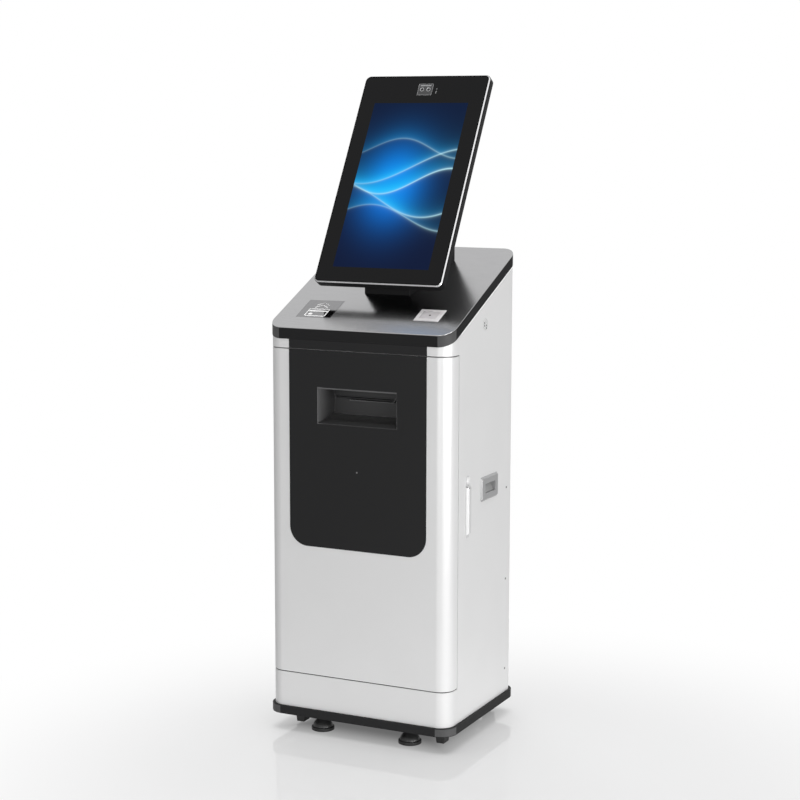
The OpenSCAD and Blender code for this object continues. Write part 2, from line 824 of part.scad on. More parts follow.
// One hinge's barrel parts lie along z; a leaf runs from the barrel along the cabinet's side
module knuckle_at(z, h) translate([hinge_x, wrap, z]) difference() {
    cylinder(r = barrel_r, h = h);
    translate([0, 0, -1]) cylinder(r = pin_r + run, h = h + 2);
}

module leaf(z, h, y0, y1) difference() {
    translate([-cab_w / 2 - leaf_t, y0, z]) cube([leaf_t, y1 - y0, h]);
    translate([hinge_x, wrap, z - 1]) cylinder(r = pin_r + run, h = h + 2);
}

module hinge_fixed_leaves() color(white)
    for (z = hinge_zs) {
        for (k = [-1, 1]) {
            zk = z + k * (knuckle + 2 * fit) - knuckle / 2;
            knuckle_at(zk, knuckle);
            leaf(zk, knuckle, wrap, side_y0 + leaf_w);
        }
        translate([-cab_w / 2 - leaf_t, side_y0 + barrel_r, z - hinge_h / 2])
            cube([leaf_t, leaf_w - barrel_r, hinge_h]);
    }

module hinge_door_leaves() color(white)
    for (z = hinge_zs) {
        knuckle_at(z - knuckle / 2, knuckle);
        leaf(z - knuckle / 2, knuckle, door_y1 - leaf_w / 2, wrap);
    }

module hinge_pins() color(steel)
    for (z = hinge_zs)
        translate([hinge_x, wrap, z - hinge_h / 2]) cylinder(r = pin_r, h = hinge_h);

// Lock

module lock_backplate() color(white) translate([cab_w / 2, lock_y, lock_z]) difference() {
    edge = 4;
    top = cap_r + edge;
    w = lever_w + 2;
    rotate([90, 0, 90]) linear_extrude(esc_t) {
        translate([-w / 2, -lever_l - edge]) square([w, lever_l + edge]);
        translate([0, top - w / 2]) circle(w / 2);
        translate([-w / 2, 0]) square([w, top - w / 2]);
    }
    rod_x(spindle_r + run, -esc_t, 2 * esc_t);
}

module lock_spindle() color(white) translate([0, lock_y, lock_z]) difference() {
    x1 = cab_w / 2 + esc_t + fit;
    union() {
        rod_x(spindle_r, hook_x + hook_t, x1 + 1);
        translate([hook_x - 2, -key / 2, -key / 2]) cube([hook_t + 4, key, key]);
        translate([x1, 0, 0]) rotate([0, 90, 0]) rotate_extrude() intersection() {
            translate([0, lever_t - 2 * cap_r]) circle(2 * cap_r);
            square([cap_r, lever_t]);
        }
        translate([x1 + fit, -tongue_w / 2, -lever_pin_down])
            cube([lever_t - 2 * fit - 2 * pivot_in, tongue_w, lever_pin_down]);
        translate([lever_x - pivot_in, 0, -lever_pin_down])
            rod_y(lever_t / 2 - fit - pivot_in, -tongue_w / 2, tongue_w / 2);
    }
    translate([lever_x - pivot_in, 0, -lever_pin_down]) rod_y(lever_pin_r + run, -tongue_w, tongue_w);
}

// The hook at rest points down; its finger runs round the keeper's pin when the spindle turns
module lock_hook() color(steel) translate([hook_x, lock_y, lock_z]) rotate([90, 0, 90]) difference() {
    inner = hook_r - hook_finger;
    linear_extrude(hook_t) {
        circle(spindle_r + 5);
        intersection() {
            circle(hook_r);
            union() {
                polygon([[0, 0], 2 * hook_r * [cos(285), sin(285)], 2 * hook_r * [cos(312), sin(312)]]);
                difference() {
                    polygon([[0, 0], 2 * hook_r * [cos(245), sin(245)], 2 * hook_r * [cos(290), sin(290)]]);
                    circle(inner);
                }
            }
        }
    }
    translate([-key / 2, -key / 2, -1]) cube([key, key, hook_t + 2]);
}

module lock_lever() color(white) translate([lever_x, lock_y, lock_z]) difference() {
    union() {
        translate([-lever_t / 2, -lever_w / 2, -lever_l])
            cube([lever_t, lever_w, lever_l - lever_pin_down]);
        translate([-pivot_in, 0, -lever_pin_down]) rod_y(lever_t / 2 - pivot_in, -lever_w / 2, lever_w / 2);
    }
    translate([-lever_t, -tongue_w / 2 - fit, -lever_pin_down - lever_t / 2 - fit])
        cube([2 * lever_t, tongue_w + 2 * fit, lever_t + 2 * fit + lever_pin_down]);
    translate([-pivot_in, 0, -lever_pin_down]) rod_y(lever_pin_r, -lever_w, lever_w);
}

module lever_pin() color(steel)
    translate([lever_x - pivot_in, lock_y, lock_z - lever_pin_down])
        rod_y(lever_pin_r, -lever_w / 2, lever_w / 2);

// Feet and casters

module foot(p) color(black) translate([p.x, p.y, -floor_gap]) {
    neck = stud_r + 5;
    rotate_extrude() polygon([[0, 0], [foot_r - 2, 0], [foot_r, 2], [foot_r, foot_rim - 1],
        [foot_r - 1, foot_rim], [foot_r - 3, foot_rim], [neck + 4, foot_dome - 3], [neck, foot_dome],
        [stud_r, foot_dome], [stud_r, floor_gap + stud_up], [0, floor_gap + stud_up]]);
}

module foot_front_left() foot(foot_places[0]);
module foot_front_right() foot(foot_places[1]);
module foot_rear_left() foot(foot_places[2]);
module foot_rear_right() foot(foot_places[3]);

module caster_plates() color(dark)
    for (p = caster_places) translate([p.x, p.y, 0]) {
        translate([-caster_plate_w / 2, -caster_plate_w / 2, -caster_plate_t])
            cube([caster_plate_w, caster_plate_w, caster_plate_t]);
        translate([0, 0, fork_z1 - crown_h - fit - king_head]) {
            cylinder(r = king_r, h = crown_h + 2 * fit + king_head + caster_plate_t / 2);
            cylinder(r = king_head_r, h = king_head);
        }
    }

module caster_fork(p) color(black) translate([p.x, p.y, 0]) {
    pocket_w = wheel_w + 2 * hub_step;
    difference() {
        union() {
            translate([0, 0, fork_z1 - crown_h]) cylinder(r = fork_top_w / 2, h = crown_h);
            translate([0, trail + wheel_r - 2, 0]) rotate([90, 0, 0]) linear_extrude(2 * wheel_r)
                polygon([[-fork_foot_w / 2, fork_z0], [fork_foot_w / 2, fork_z0],
                         [fork_top_w / 2, fork_z1], [-fork_top_w / 2, fork_z1]]);
        }
        translate([0, 0, fork_z1 - crown_h - 1]) cylinder(r = king_r + fit, h = crown_h + 2);
        translate([0, 0, fork_z0 - 1]) cylinder(r = king_head_r + 1, h = fork_z1 - crown_h - fork_z0 + 1);
        translate([0, trail, axle_z]) rod_x(wheel_r + wheel_room, -pocket_w / 2, pocket_w / 2);
        translate([-pocket_w / 2, trail - wheel_r - wheel_room, fork_z0 - 1])
            cube([pocket_w, 2 * (wheel_r + wheel_room), axle_z - fork_z0 + 1]);
    }
    translate([0, trail, axle_z]) rod_x(axle_r, -fork_foot_w / 2 - 1, fork_foot_w / 2 + 1);
}

module caster_fork_front_left() caster_fork(caster_places[0]);
module caster_fork_front_right() caster_fork(caster_places[1]);
module caster_fork_rear_left() caster_fork(caster_places[2]);
module caster_fork_rear_right() caster_fork(caster_places[3]);

module caster_wheel(p) color(dark) translate([p.x, p.y + trail, axle_z]) rotate([0, 90, 0])
    rotate_extrude() polygon([[axle_r + run, -wheel_w / 2], [wheel_r - 2, -wheel_w / 2],
        [wheel_r, 2 - wheel_w / 2], [wheel_r, wheel_w / 2 - 2], [wheel_r - 2, wheel_w / 2],
        [axle_r + run, wheel_w / 2]]);

module caster_wheel_front_left() caster_wheel(caster_places[0]);
module caster_wheel_front_right() caster_wheel(caster_places[1]);
module caster_wheel_rear_left() caster_wheel(caster_places[2]);
module caster_wheel_rear_right() caster_wheel(caster_places[3]);

// Inside

module printer_body() color(dark) difference() {
    translate([-printer_w / 2, printer_y, printer_z]) cube([printer_w, printer_d, printer_h]);
    translate([-slot_w / 2, printer_y - 1, drive_z - drive_r - roller_room])
        cube([slot_w, notch_d, 2 * (drive_r + pinch_r + roller_room) + nip]);
    for (z = [drive_z, pinch_z])
        translate([0, roller_y, z]) rod_x(journal_r + run, -bore_x, bore_x);
    translate([-cassette_w / 2 - loose, printer_y - 1, cassette_z])
        cube([cassette_w + 2 * loose, cassette_d + 1 + loose, cassette_h + loose]);
    translate([printer_wall - printer_w / 2, works_y, works_z])
        cube([printer_w - 2 * printer_wall, printer_d, printer_z + printer_h - printer_wall - works_z]);
}

module roller(r, z) color(black) translate([0, roller_y, z]) {
    rod_x(r, -roller_l / 2, roller_l / 2);
    rod_x(journal_r, -slot_w / 2 - journal_l, slot_w / 2 + journal_l);
}

module exit_drive_roller() roller(drive_r, drive_z);
module exit_pinch_roller() roller(pinch_r, pinch_z);

module paper_cassette() color(grey) difference() {
    y0 = printer_y - cassette_out;
    translate([-cassette_w / 2, y0, cassette_z])
        cube([cassette_w, printer_y + cassette_d - y0, cassette_h]);
    translate([-grip_w / 2, y0 - 1, cassette_z + (cassette_h - grip_h) / 2])
        cube([grip_w, grip_d + 1, grip_h]);
}

module computer() color(dark)
    translate([-inside_gap - computer_w, inside_y, base_floor])
        cube([computer_w, computer_d, computer_h]);

module power_supply() color(steel)
    translate([inside_gap, inside_y, base_floor]) cube([supply_w, supply_d, supply_h]);

module mains_inlet() color(black) difference() {
    union() {
        upright(cab_d - inlet_d, inlet_d) inlet_outline();
        upright(cab_d, inlet_lip_t) inlet_outline(inlet_lip);
    }
    translate([inlet_x - inlet_w / 2 + socket_in, cab_d - socket_d, inlet_z - socket_h / 2])
        cube([socket_w, socket_d + inlet_lip_t + 1, socket_h]);
    rocker_place() {
        translate([-rocker_w / 2 - fit, -rocker_h * 0.7, -rocker_h / 2 - rocker_room])
            cube([rocker_w + 2 * fit, 2 * rocker_h, rocker_h + 2 * rocker_room]);
        rod_x(trunnion_r + run, -rocker_w / 2 - trunnion_l - loose, rocker_w / 2 + trunnion_l + loose);
    }
}

module rocker_place()
    translate([inlet_x + inlet_w / 2 - rocker_w / 2 - rocker_in, cab_d - rocker_sink, inlet_z]) children();

// The rocker rests with its lower end pressed in
module rocker_switch() color("#1a1a1a") rocker_place() {
    rotate([-rocker_tilt, 0, 0]) across(rocker_w)
        polygon([[-6, -5], [-6, 5], [3, rocker_h / 2], [6.5, rocker_h / 2], [5, 0], [6.5, -rocker_h / 2],
                 [3, -rocker_h / 2]]);
    rod_x(trunnion_r, -rocker_w / 2 - trunnion_l, rocker_w / 2 + trunnion_l);
}

place() base_plate();
place() kick_panel();
place() side_panel_left();
place() side_panel_right();
place() rear_panel();
place() fascia_corners();
place() fascia_centre();
place() printer_shelf();
place() counter_core();
place() counter_plate();
place() card_window();
place() card_reader();
place() scanner_frame();
place() scanner();
place() pedestal();
place() screen_back();
place() screen_rim();
place() screen_glass();
place() display_panel();
place() camera_module();
place() speakers();
place() flush_pulls();
place() hinge_fixed_leaves();
place() hinge_door_leaves();
place() hinge_pins();
place() door_skin();
place() door_panel();
place() paper_chute();
place() status_light();
place() door_keeper();
place() lock_backplate();
place() lock_spindle();
place() lock_hook();
place() lock_lever();
place() lever_pin();
place() foot_front_left();
place() foot_front_right();
place() foot_rear_left();
place() foot_rear_right();
place() caster_plates();
place() caster_fork_front_left();
place() caster_fork_front_right();
place() caster_fork_rear_left();
place() caster_fork_rear_right();
place() caster_wheel_front_left();
place() caster_wheel_front_right();
place() caster_wheel_rear_left();
place() caster_wheel_rear_right();
place() printer_body();
place() exit_drive_roller();
place() exit_pinch_roller();
place() paper_cassette();
place() computer();
place() power_supply();
place() mains_inlet();
place() rocker_switch();
place() screws();
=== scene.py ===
"""Looks of a document printing kiosk: finishes, fitted details, studio and camera.

The scene is in metres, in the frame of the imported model: +Z up, the front towards -Y, and the origin
on the floor under the middle of the kiosk. Shapes are drawn on the bench in millimetres.
"""

import json
import logging
import math
from dataclasses import dataclass
from enum import Enum
from typing import Dict, List, Optional, Sequence, Tuple, Union

import bpy
from mathutils import Matrix, Vector

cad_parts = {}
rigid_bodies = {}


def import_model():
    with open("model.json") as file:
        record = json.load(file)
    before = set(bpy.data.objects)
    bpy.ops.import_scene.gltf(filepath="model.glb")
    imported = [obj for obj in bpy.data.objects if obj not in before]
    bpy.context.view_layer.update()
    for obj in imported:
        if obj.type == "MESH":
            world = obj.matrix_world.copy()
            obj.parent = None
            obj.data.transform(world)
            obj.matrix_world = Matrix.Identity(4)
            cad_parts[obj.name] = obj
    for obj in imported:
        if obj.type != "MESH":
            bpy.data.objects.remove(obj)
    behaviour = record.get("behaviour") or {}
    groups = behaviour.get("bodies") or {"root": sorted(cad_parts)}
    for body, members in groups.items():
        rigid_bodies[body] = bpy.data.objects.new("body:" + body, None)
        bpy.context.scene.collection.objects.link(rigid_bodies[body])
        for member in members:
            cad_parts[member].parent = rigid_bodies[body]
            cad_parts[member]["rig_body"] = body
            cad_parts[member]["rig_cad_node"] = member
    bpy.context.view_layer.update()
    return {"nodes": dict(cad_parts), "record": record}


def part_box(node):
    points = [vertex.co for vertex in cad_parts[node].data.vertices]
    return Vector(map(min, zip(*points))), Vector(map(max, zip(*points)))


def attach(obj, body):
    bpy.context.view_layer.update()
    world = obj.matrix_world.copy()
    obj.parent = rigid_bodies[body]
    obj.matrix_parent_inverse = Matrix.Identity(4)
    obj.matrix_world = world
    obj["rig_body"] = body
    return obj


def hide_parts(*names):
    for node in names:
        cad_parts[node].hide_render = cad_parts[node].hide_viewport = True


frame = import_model()
SLOTS: Dict[str, str] = {s["node"]: s["material_slot"] for s in frame["record"]["subparts"]}
MM = 0.001
SIDE_FACE = 253.0  # the side panels' distance from the middle, in millimetres
REAR_FACE = 204.7  # the rear panel's distance from the middle
Colour = Tuple[float, float, float]
Pair = Tuple[float, float]
Profile = Tuple[Pair, ...]
log = logging.getLogger("kiosk")


class Signal:
    """A shader value. Arithmetic on it adds Math nodes to its graph."""

    def __init__(self, graph: "Graph", socket: bpy.types.NodeSocket) -> None:
        """Wraps one output socket of a graph."""
        self.graph = graph
        self.socket = socket

    def __add__(self, other: "Value") -> "Signal":
        """Adds a value."""
        return self.graph.math("ADD", self, other)

    def __sub__(self, other: "Value") -> "Signal":
        """Takes a value away."""
        return self.graph.math("SUBTRACT", self, other)

    def __rsub__(self, other: "Value") -> "Signal":
        """Takes this signal away from a number."""
        return self.graph.math("SUBTRACT", other, self)

    def __mul__(self, other: "Value") -> "Signal":
        """Multiplies by a value."""
        return self.graph.math("MULTIPLY", self, other)

    def __truediv__(self, other: "Value") -> "Signal":
        """Divides by a value."""
        return self.graph.math("DIVIDE", self, other)

    def __rtruediv__(self, other: "Value") -> "Signal":
        """Divides a number by this signal."""
        return self.graph.math("DIVIDE", other, self)

    def __pow__(self, other: "Value") -> "Signal":
        """Raises this signal to a power."""
        return self.graph.math("POWER", self, other)

    def __gt__(self, other: "Value") -> "Signal":
        """Gives 1 where this signal is above a value, and 0 elsewhere."""
        return self.graph.math("GREATER_THAN", self, other)

    def __abs__(self) -> "Signal":
        """Drops the sign."""
        return self.graph.math("ABSOLUTE", self)

    __radd__ = __add__
    __rmul__ = __mul__

    def sine(self) -> "Signal":
        """Takes the sine of an angle in radians."""
        return self.graph.math("SINE", self)

    def least(self, other: "Value") -> "Signal":
        """Takes the smaller of two values."""
        return self.graph.math("MINIMUM", self, other)

    def most(self, other: "Value") -> "Signal":
        """Takes the larger of two values."""
        return self.graph.math("MAXIMUM", self, other)

    def ease(self, start: float, end: float) -> "Signal":
        """Rises smoothly from 0 to 1.

        Args:
            start: The value at which the rise starts.
            end: The value at which it ends.

        Returns:
            The eased signal.
        """
        node = self.graph.node("ShaderNodeMapRange", {"interpolation_type": "SMOOTHSTEP"},
                               {"Value": self, "From Min": start, "From Max": end})
        return Signal(self.graph, node.outputs[0])


Value = Union[Signal, float]


class Graph:
    """The node tree of one new material."""

    def __init__(self, name: str) -> None:
        """Makes an empty material.

        Args:
            name: The material's name.
        """
        self.material = bpy.data.materials.new(name)
        self.material.use_nodes = True
        self.tree = self.material.node_tree
        self.tree.nodes.clear()
        self._point: Optional[bpy.types.NodeSocket] = None

    def node(self, kind: str, settings: Optional[dict] = None,
             inputs: Optional[dict] = None) -> bpy.types.Node:
        """Adds one node.

        Args:
            kind: The node's type name.
            settings: Properties that are set first; "stops" fills a colour ramp.
            inputs: Values, signals or sockets by input name or number.

        Returns:
            The new node.
        """
        made = self.tree.nodes.new(kind)
        for key, value in (settings or {}).items():
            if key == "stops":
                ramp = made.color_ramp
                while len(ramp.elements) < len(value):
                    ramp.elements.new(0.5)
                for element, (place, colour) in zip(ramp.elements, value):
                    element.position = place
                    element.color = (*colour, 1.0)
            else:
                setattr(made, key, value)
        for key, value in (inputs or {}).items():
            if isinstance(value, Signal):
                self.tree.links.new(value.socket, made.inputs[key])
            elif isinstance(value, bpy.types.NodeSocket):
                self.tree.links.new(value, made.inputs[key])
            else:
                made.inputs[key].default_value = value
        return made

    def math(self, operation: str, *operands: Value) -> Signal:
        """Adds a Math node and returns its result."""
        node = self.node("ShaderNodeMath", {"operation": operation}, dict(enumerate(operands)))
        return Signal(self, node.outputs[0])

    def point(self) -> bpy.types.NodeSocket:
        """Reads Object coordinates, through one node for the whole tree.

        Returns:
            The place on the object, in metres.
        """
        if self._point is None:
            self._point = self.node("ShaderNodeTexCoord").outputs["Object"]
        return self._point

    def placed(self, origin: Sequence[float], turn: Sequence[float] = (0, 0, 0),
               scale: Sequence[float] = (1, 1, 1)) -> bpy.types.NodeSocket:
        """Returns the place in a frame of its own.

        Args:
            origin: The frame's origin on the object.
            turn: The frame's turn on the object, as XYZ angles.
            scale: The frame's unit lengths.

        Returns:
            The place's coordinates in that frame.
        """
        node = self.node("ShaderNodeMapping", {"vector_type": "TEXTURE"},
                         {"Vector": self.point(), "Location": origin, "Rotation": turn, "Scale": scale})
        return node.outputs[0]

    def split(self, vector: bpy.types.NodeSocket) -> Tuple[Signal, Signal, Signal]:
        """Splits a vector.

        Args:
            vector: The vector.

        Returns:
            Its three coordinates.
        """
        node = self.node("ShaderNodeSeparateXYZ", None, {0: vector})
        x, y, z = (Signal(self, out) for out in node.outputs)
        return x, y, z

    def noise(self, size: float, detail: float = 2.0,
              vector: Optional[bpy.types.NodeSocket] = None) -> Signal:
        """Adds soft noise.

        Args:
            size: About how far its spots reach, in metres.
            detail: How many finer layers it has.
            vector: The coordinates that it follows; the object's own by default.

        Returns:
            The noise.
        """
        node = self.node("ShaderNodeTexNoise", None,
                         {"Vector": vector or self.point(), "Scale": 1 / size, "Detail": detail})
        return Signal(self, node.outputs[0])

    def mix(self, factor: Value, first: Union[Colour, bpy.types.NodeSocket],
            second: Union[Colour, bpy.types.NodeSocket]) -> bpy.types.NodeSocket:
        """Blends two colours.

        Args:
            factor: The second colour's share.
            first: The colour at a factor of 0.
            second: The colour at a factor of 1.

        Returns:
            The blended colour.
        """
        low, high = ((*c, 1.0) if isinstance(c, tuple) else c for c in (first, second))
        node = self.node("ShaderNodeMix", {"data_type": "RGBA"}, {0: factor, 6: low, 7: high})
        return node.outputs[2]

    def bump(self, height: Signal, depth: float) -> bpy.types.NodeSocket:
        """Returns a normal that follows a height of that depth."""
        node = self.node("ShaderNodeBump", None, {"Height": height, "Distance": depth, "Strength": 1.0})
        return node.outputs[0]

    def shader(self, inputs: dict) -> bpy.types.NodeSocket:
        """Adds a Principled shader with these inputs and returns its output."""
        ready = {k: (*v, 1.0) if isinstance(v, tuple) and len(v) == 3 else v for k, v in inputs.items()}
        return self.node("ShaderNodeBsdfPrincipled", None, ready).outputs[0]

    def glow(self, strength: float) -> bpy.types.NodeSocket:
        """Adds a white emission of that strength and returns its output."""
        white = {"Color": (1.0, 1.0, 1.0, 1.0), "Strength": strength}
        return self.node("ShaderNodeEmission", None, white).outputs[0]

    def blend(self, factor: Value, first: bpy.types.NodeSocket,
              second: bpy.types.NodeSocket) -> bpy.types.NodeSocket:
        """Mixes two shaders by a factor and returns the result."""
        return self.node("ShaderNodeMixShader", None, {0: factor, 1: first, 2: second}).outputs[0]

    def end(self, surface: bpy.types.NodeSocket) -> bpy.types.Material:
        """Ends the tree in a shader's output and returns the material."""
        self.node("ShaderNodeOutputMaterial", None, {"Surface": surface})
        return self.material

    def finish(self, inputs: dict) -> bpy.types.Material:
        """Ends the tree in a Principled shader with these inputs, and returns the material."""
        return self.end(self.shader(inputs))


def shade(colour: Colour, factor: float) -> Colour:
    """Returns a colour made darker or lighter, up to white."""
    red, green, blue = (min(1.0, factor * c) for c in colour)
    return red, green, blue


@dataclass(frozen=True)
class Finish:
    """A surface finish; each one builds its material once."""

    name: str

    def build(self, graph: Graph) -> bpy.types.Material:
        """Fills the graph and returns its material."""
        raise NotImplementedError

    def material(self) -> bpy.types.Material:
        """Returns this finish's material, which is made at its first use."""
        return bpy.data.materials.get(self.name) or self.build(Graph(self.name))


@dataclass(frozen=True)
class PowderCoat(Finish):
    """Baked powder paint: a faint peel, and gloss that varies a little over each panel."""

    colour: Colour = (0.8, 0.8, 0.8)
    roughness: float = 0.38
    specular: float = 0.5
    peel_size: float = 2.4 * MM
    peel_depth: float = 0.012 * MM
    ior: float = 1.5
    cloud_size: float = 120 * MM
    gloss_swing: float = 0.02

    def build(self, graph: Graph) -> bpy.types.Material:
        """Mixes the paint.

        Args:
            graph: The material's empty tree.

        Returns:
            The material.
        """
        cloud = graph.noise(self.cloud_size, 3)
        fine = graph.noise(self.peel_size, 2)
        swing = self.gloss_swing
        tone = graph.mix(cloud.ease(0.3, 0.7), shade(self.colour, 0.99), shade(self.colour, 1.005))
        return graph.finish({
            "Base Color": tone,
            "Roughness": cloud * swing + (self.roughness - swing) + fine * swing,
            "IOR": self.ior,
            "Specular IOR Level": self.specular,
            "Normal": graph.bump(fine, self.peel_depth),
        })


@dataclass(frozen=True)
class MouldedPlastic(Finish):
    """Moulded plastic with a fine spark-eroded grain."""

    colour: Colour = (0.03, 0.03, 0.03)
    roughness: float = 0.5
    specular: float = 0.4
    grain_size: float = 0.9 * MM
    grain_depth: float = 0.03 * MM
    cloud_size: float = 35 * MM

    def tint(self, graph: Graph, cloud: Signal) -> bpy.types.NodeSocket:
        """Returns the colour over the surface, which follows a soft noise."""
        return graph.mix(cloud.ease(0.3, 0.7), shade(self.colour, 0.88), shade(self.colour, 1.1))

    def build(self, graph: Graph) -> bpy.types.Material:
        """Mixes the plastic.

        Args:
            graph: The material's empty tree.

        Returns:
            The material.
        """
        cloud = graph.noise(self.cloud_size, 3)
        grain = graph.noise(self.grain_size, 3)
        return graph.finish({
            "Base Color": self.tint(graph, cloud),
            "Roughness": cloud * 0.08 + (self.roughness - 0.06) + grain * 0.04,
            "Specular IOR Level": self.specular,
            "Normal": graph.bump(grain, self.grain_depth),
        })


@dataclass(frozen=True)
class DustAndPaintedLightPlastic(MouldedPlastic):
    """Moulded plastic with painted light and shade: paler near the opening and at the left (painted light),
    darker towards its top (painted shade), and paler on flat places (dust and painted light).
    """

    colour: Colour = (0.045, 0.045, 0.046)
    roughness: float = 0.45
    dust_and_light: Colour = (0.2, 0.2, 0.2)
    shady: Pair = (0.856, 0.9)
    lit_opening_colour: Colour = (0.12, 0.12, 0.121)
    depth: Pair = (-0.205, -0.135)
    left: Pair = (-0.108, -0.09)
    shaded: float = 0.55

    def tint(self, graph: Graph, cloud: Signal) -> bpy.types.NodeSocket:
        """Paints light and shade on the plastic, and dusts it.

        Args:
            graph: The material's tree.
            cloud: A soft noise that breaks up the dust and painted light.

        Returns:
            The colour over the surface.
        """
        _, _, rise = graph.split(graph.node("ShaderNodeTexCoord").outputs["Normal"])
        across, back, height = graph.split(graph.point())
        inside = back.ease(*self.depth)
        flat = rise.ease(0.3, 0.95)
        # Painted shade: darker towards the top.
        top_shaded = graph.mix(height.ease(*self.shady), self.colour, shade(self.colour, self.shaded))
        # Painted light: paler near the opening and at the left.
        lit_near_opening = graph.mix((1 - inside) * (1 - flat) * (1 - across.ease(*self.left)), top_shaded, self.lit_opening_colour)
        # Dust and painted light: paler on flat places away from the opening.
        return graph.mix(flat * inside * (cloud * 0.4 + 0.75), lit_near_opening, self.dust_and_light)


@dataclass(frozen=True)
class WorkedMetal(Finish):
    """Bare metal with fine scratches along one direction and soft clouds in its polish."""

    colour: Colour = (0.6, 0.6, 0.6)
    roughness: float = 0.2
    streak: Tuple[float, float, float] = (40 * MM, 0.5 * MM, 0.5 * MM)
    scratch_depth: float = 0.002 * MM
    cloud_size: float = 60 * MM

    def build(self, graph: Graph) -> bpy.types.Material:
        """Works the metal.

        Args:
            graph: The material's empty tree.

        Returns:
            The material.
        """
        lines = graph.noise(1.0, 4, graph.placed((0, 0, 0), (0, 0, 0), self.streak))
        cloud = graph.noise(self.cloud_size, 3)
        tone = graph.mix(lines.ease(0.35, 0.65), shade(self.colour, 0.94), shade(self.colour, 1.04))
        return graph.finish({
            "Base Color": tone,
            "Metallic": 1.0,
            "Roughness": lines * 0.05 + cloud * 0.04 + (self.roughness - 0.045),
            "Normal": graph.bump(lines, self.scratch_depth),
        })


@dataclass(frozen=True)
class SoftRubber(Finish):
    """Dull rubber with a dusty bloom."""

    colour: Colour = (0.02, 0.02, 0.02)
    bloom_size: float = 9 * MM
    grain_size: float = 0.6 * MM

    def build(self, graph: Graph) -> bpy.types.Material:
        """Mixes the rubber.

        Args:
            graph: The material's empty tree.

        Returns:
            The material.
        """
        bloom = graph.noise(self.bloom_size, 4)
        grain = graph.noise(self.grain_size, 2)
        pale = tuple(1.7 * c + 0.004 for c in self.colour)
        return graph.finish({
            "Base Color": graph.mix(bloom.ease(0.45, 0.8), self.colour, pale),
            "Roughness": bloom * 0.2 + 0.6,
            "Specular IOR Level": 0.3,
            "Normal": graph.bump(grain, 0.02 * MM),
        })


@dataclass(frozen=True)
class CoverGlass(Finish):
    """The screen's black-bordered glass, with the lit picture behind it."""

    origin: Tuple[float, float, float] = (0.0, 0.0, 0.0)
    turn: float = 0.0
    width: float = 0.2678
    height: float = 0.4761
    line_width: float = 0.004
    night: Colour = (0.006, 0.012, 0.042)
    day: Colour = (0.004, 0.20, 0.80)
    veil: Colour = (0.01, 0.50, 1.0)
    gleam: Colour = (0.55, 0.90, 1.0)
    border: Colour = (0.006, 0.006, 0.0065)

    RIBBONS = (
        # middle, swing, waves across, phase, softness, strength
        (0.30, 0.075, 0.62, 0.10, 0.10, 0.50),
        (0.40, 0.095, 0.55, 0.32, 0.08, 0.75),
        (0.52, 0.080, 0.70, 0.55, 0.11, 1.00),
        (0.61, 0.110, 0.48, 0.72, 0.07, 0.70),
        (0.72, 0.060, 0.80, 0.92, 0.09, 0.40),
    )

    def picture(self, graph: Graph, u: Signal, v: Signal) -> bpy.types.NodeSocket:
        """Draws flowing ribbons of light on a blue ground.

        Args:
            graph: The material's tree.
            u: The place across the picture, from 0 at the left to 1 at the right.
            v: The place up the picture, from 0 to 1.

        Returns:
            The picture's colour.
        """
        across, up = (u - 0.42) * 0.75, v - 0.5
        glow = 1 / (1 + (across * across + up * up) * 20)
        haze, lines = glow * 0.0, glow * 0.0
        for middle, swing, waves, phase, softness, strength in self.RIBBONS:
            off = v - middle - ((u * waves + phase) * (2 * math.pi)).sine() * swing
            near = off / softness
            haze = haze + (off > 0.0) * strength / (1 + near * near * 4)
            thin = off / self.line_width
            lines = lines + (0.35 + u * 0.65) * strength / (1 + thin * thin)
        ground = graph.mix(glow.ease(0.12, 1.0), self.night, self.day)
        veiled = graph.mix((haze * glow * 0.95).least(1.0), ground, self.veil)
        return graph.mix((lines * 0.9).least(1.0), veiled, self.gleam)

    def build(self, graph: Graph) -> bpy.types.Material:
        """Lays the glass over its black border and the picture.

        Args:
            graph: The material's empty tree.

        Returns:
            The material.
        """
        x, y, z = graph.split(graph.placed(self.origin, (self.turn, 0, 0)))
        u, v = x / self.width + 0.5, y / self.height
        inside = (u > 0.0) * (v > 0.0) * (1 - (u > 1.0)) * (1 - (v > 1.0)) * (z > -0.5 * MM)
        smear = graph.noise(45 * MM, 3)
        sheen = smear * 0.05 + 0.03
        border = graph.shader({"Base Color": self.border, "Roughness": sheen, "Specular IOR Level": 0.12})
        lit = graph.shader({"Base Color": (0.0, 0.0, 0.0), "Roughness": sheen, "Specular IOR Level": 0.02,
                            "Emission Color": self.picture(graph, u, v), "Emission Strength": 1.0})
        return graph.end(graph.blend(inside, border, lit))


WHITE = PowderCoat("white_powder_coat", (0.755, 0.755, 0.755), 0.34, 0.9, 2.4 * MM, 0.003 * MM, 1.7)
LEVER_COAT = PowderCoat("satin_lever_coat", (0.64, 0.64, 0.64), 0.32, 0.9, 1.6 * MM, 0.01 * MM, 1.7)
BLACK_PAINT = PowderCoat("black_powder_coat", (0.007, 0.007, 0.0075), 0.34, 0.1)
BLACK_GLOSS = PowderCoat("black_gloss_coat", (0.005, 0.005, 0.0055), 0.34, 0.02, 3 * MM, 0.004 * MM)
HOUSING_BLACK = PowderCoat("black_housing_coat", (0.012, 0.012, 0.0125), 0.4, 0.05, 2.4 * MM, 0.004 * MM)
BLACK_BASE = PowderCoat("black_base_coat", (0.028, 0.028, 0.0285), 0.42, 0.02, 2.4 * MM, 0.004 * MM)
BLACK_SHEET = PowderCoat("black_satin_sheet", (0.011, 0.011, 0.0115), 0.45, 0.2, 1.2 * MM)
BLACK_EDGE = PowderCoat("black_board_edge", (0.022, 0.022, 0.0225), 0.5, 0.02, 2.4 * MM, 0.004 * MM)
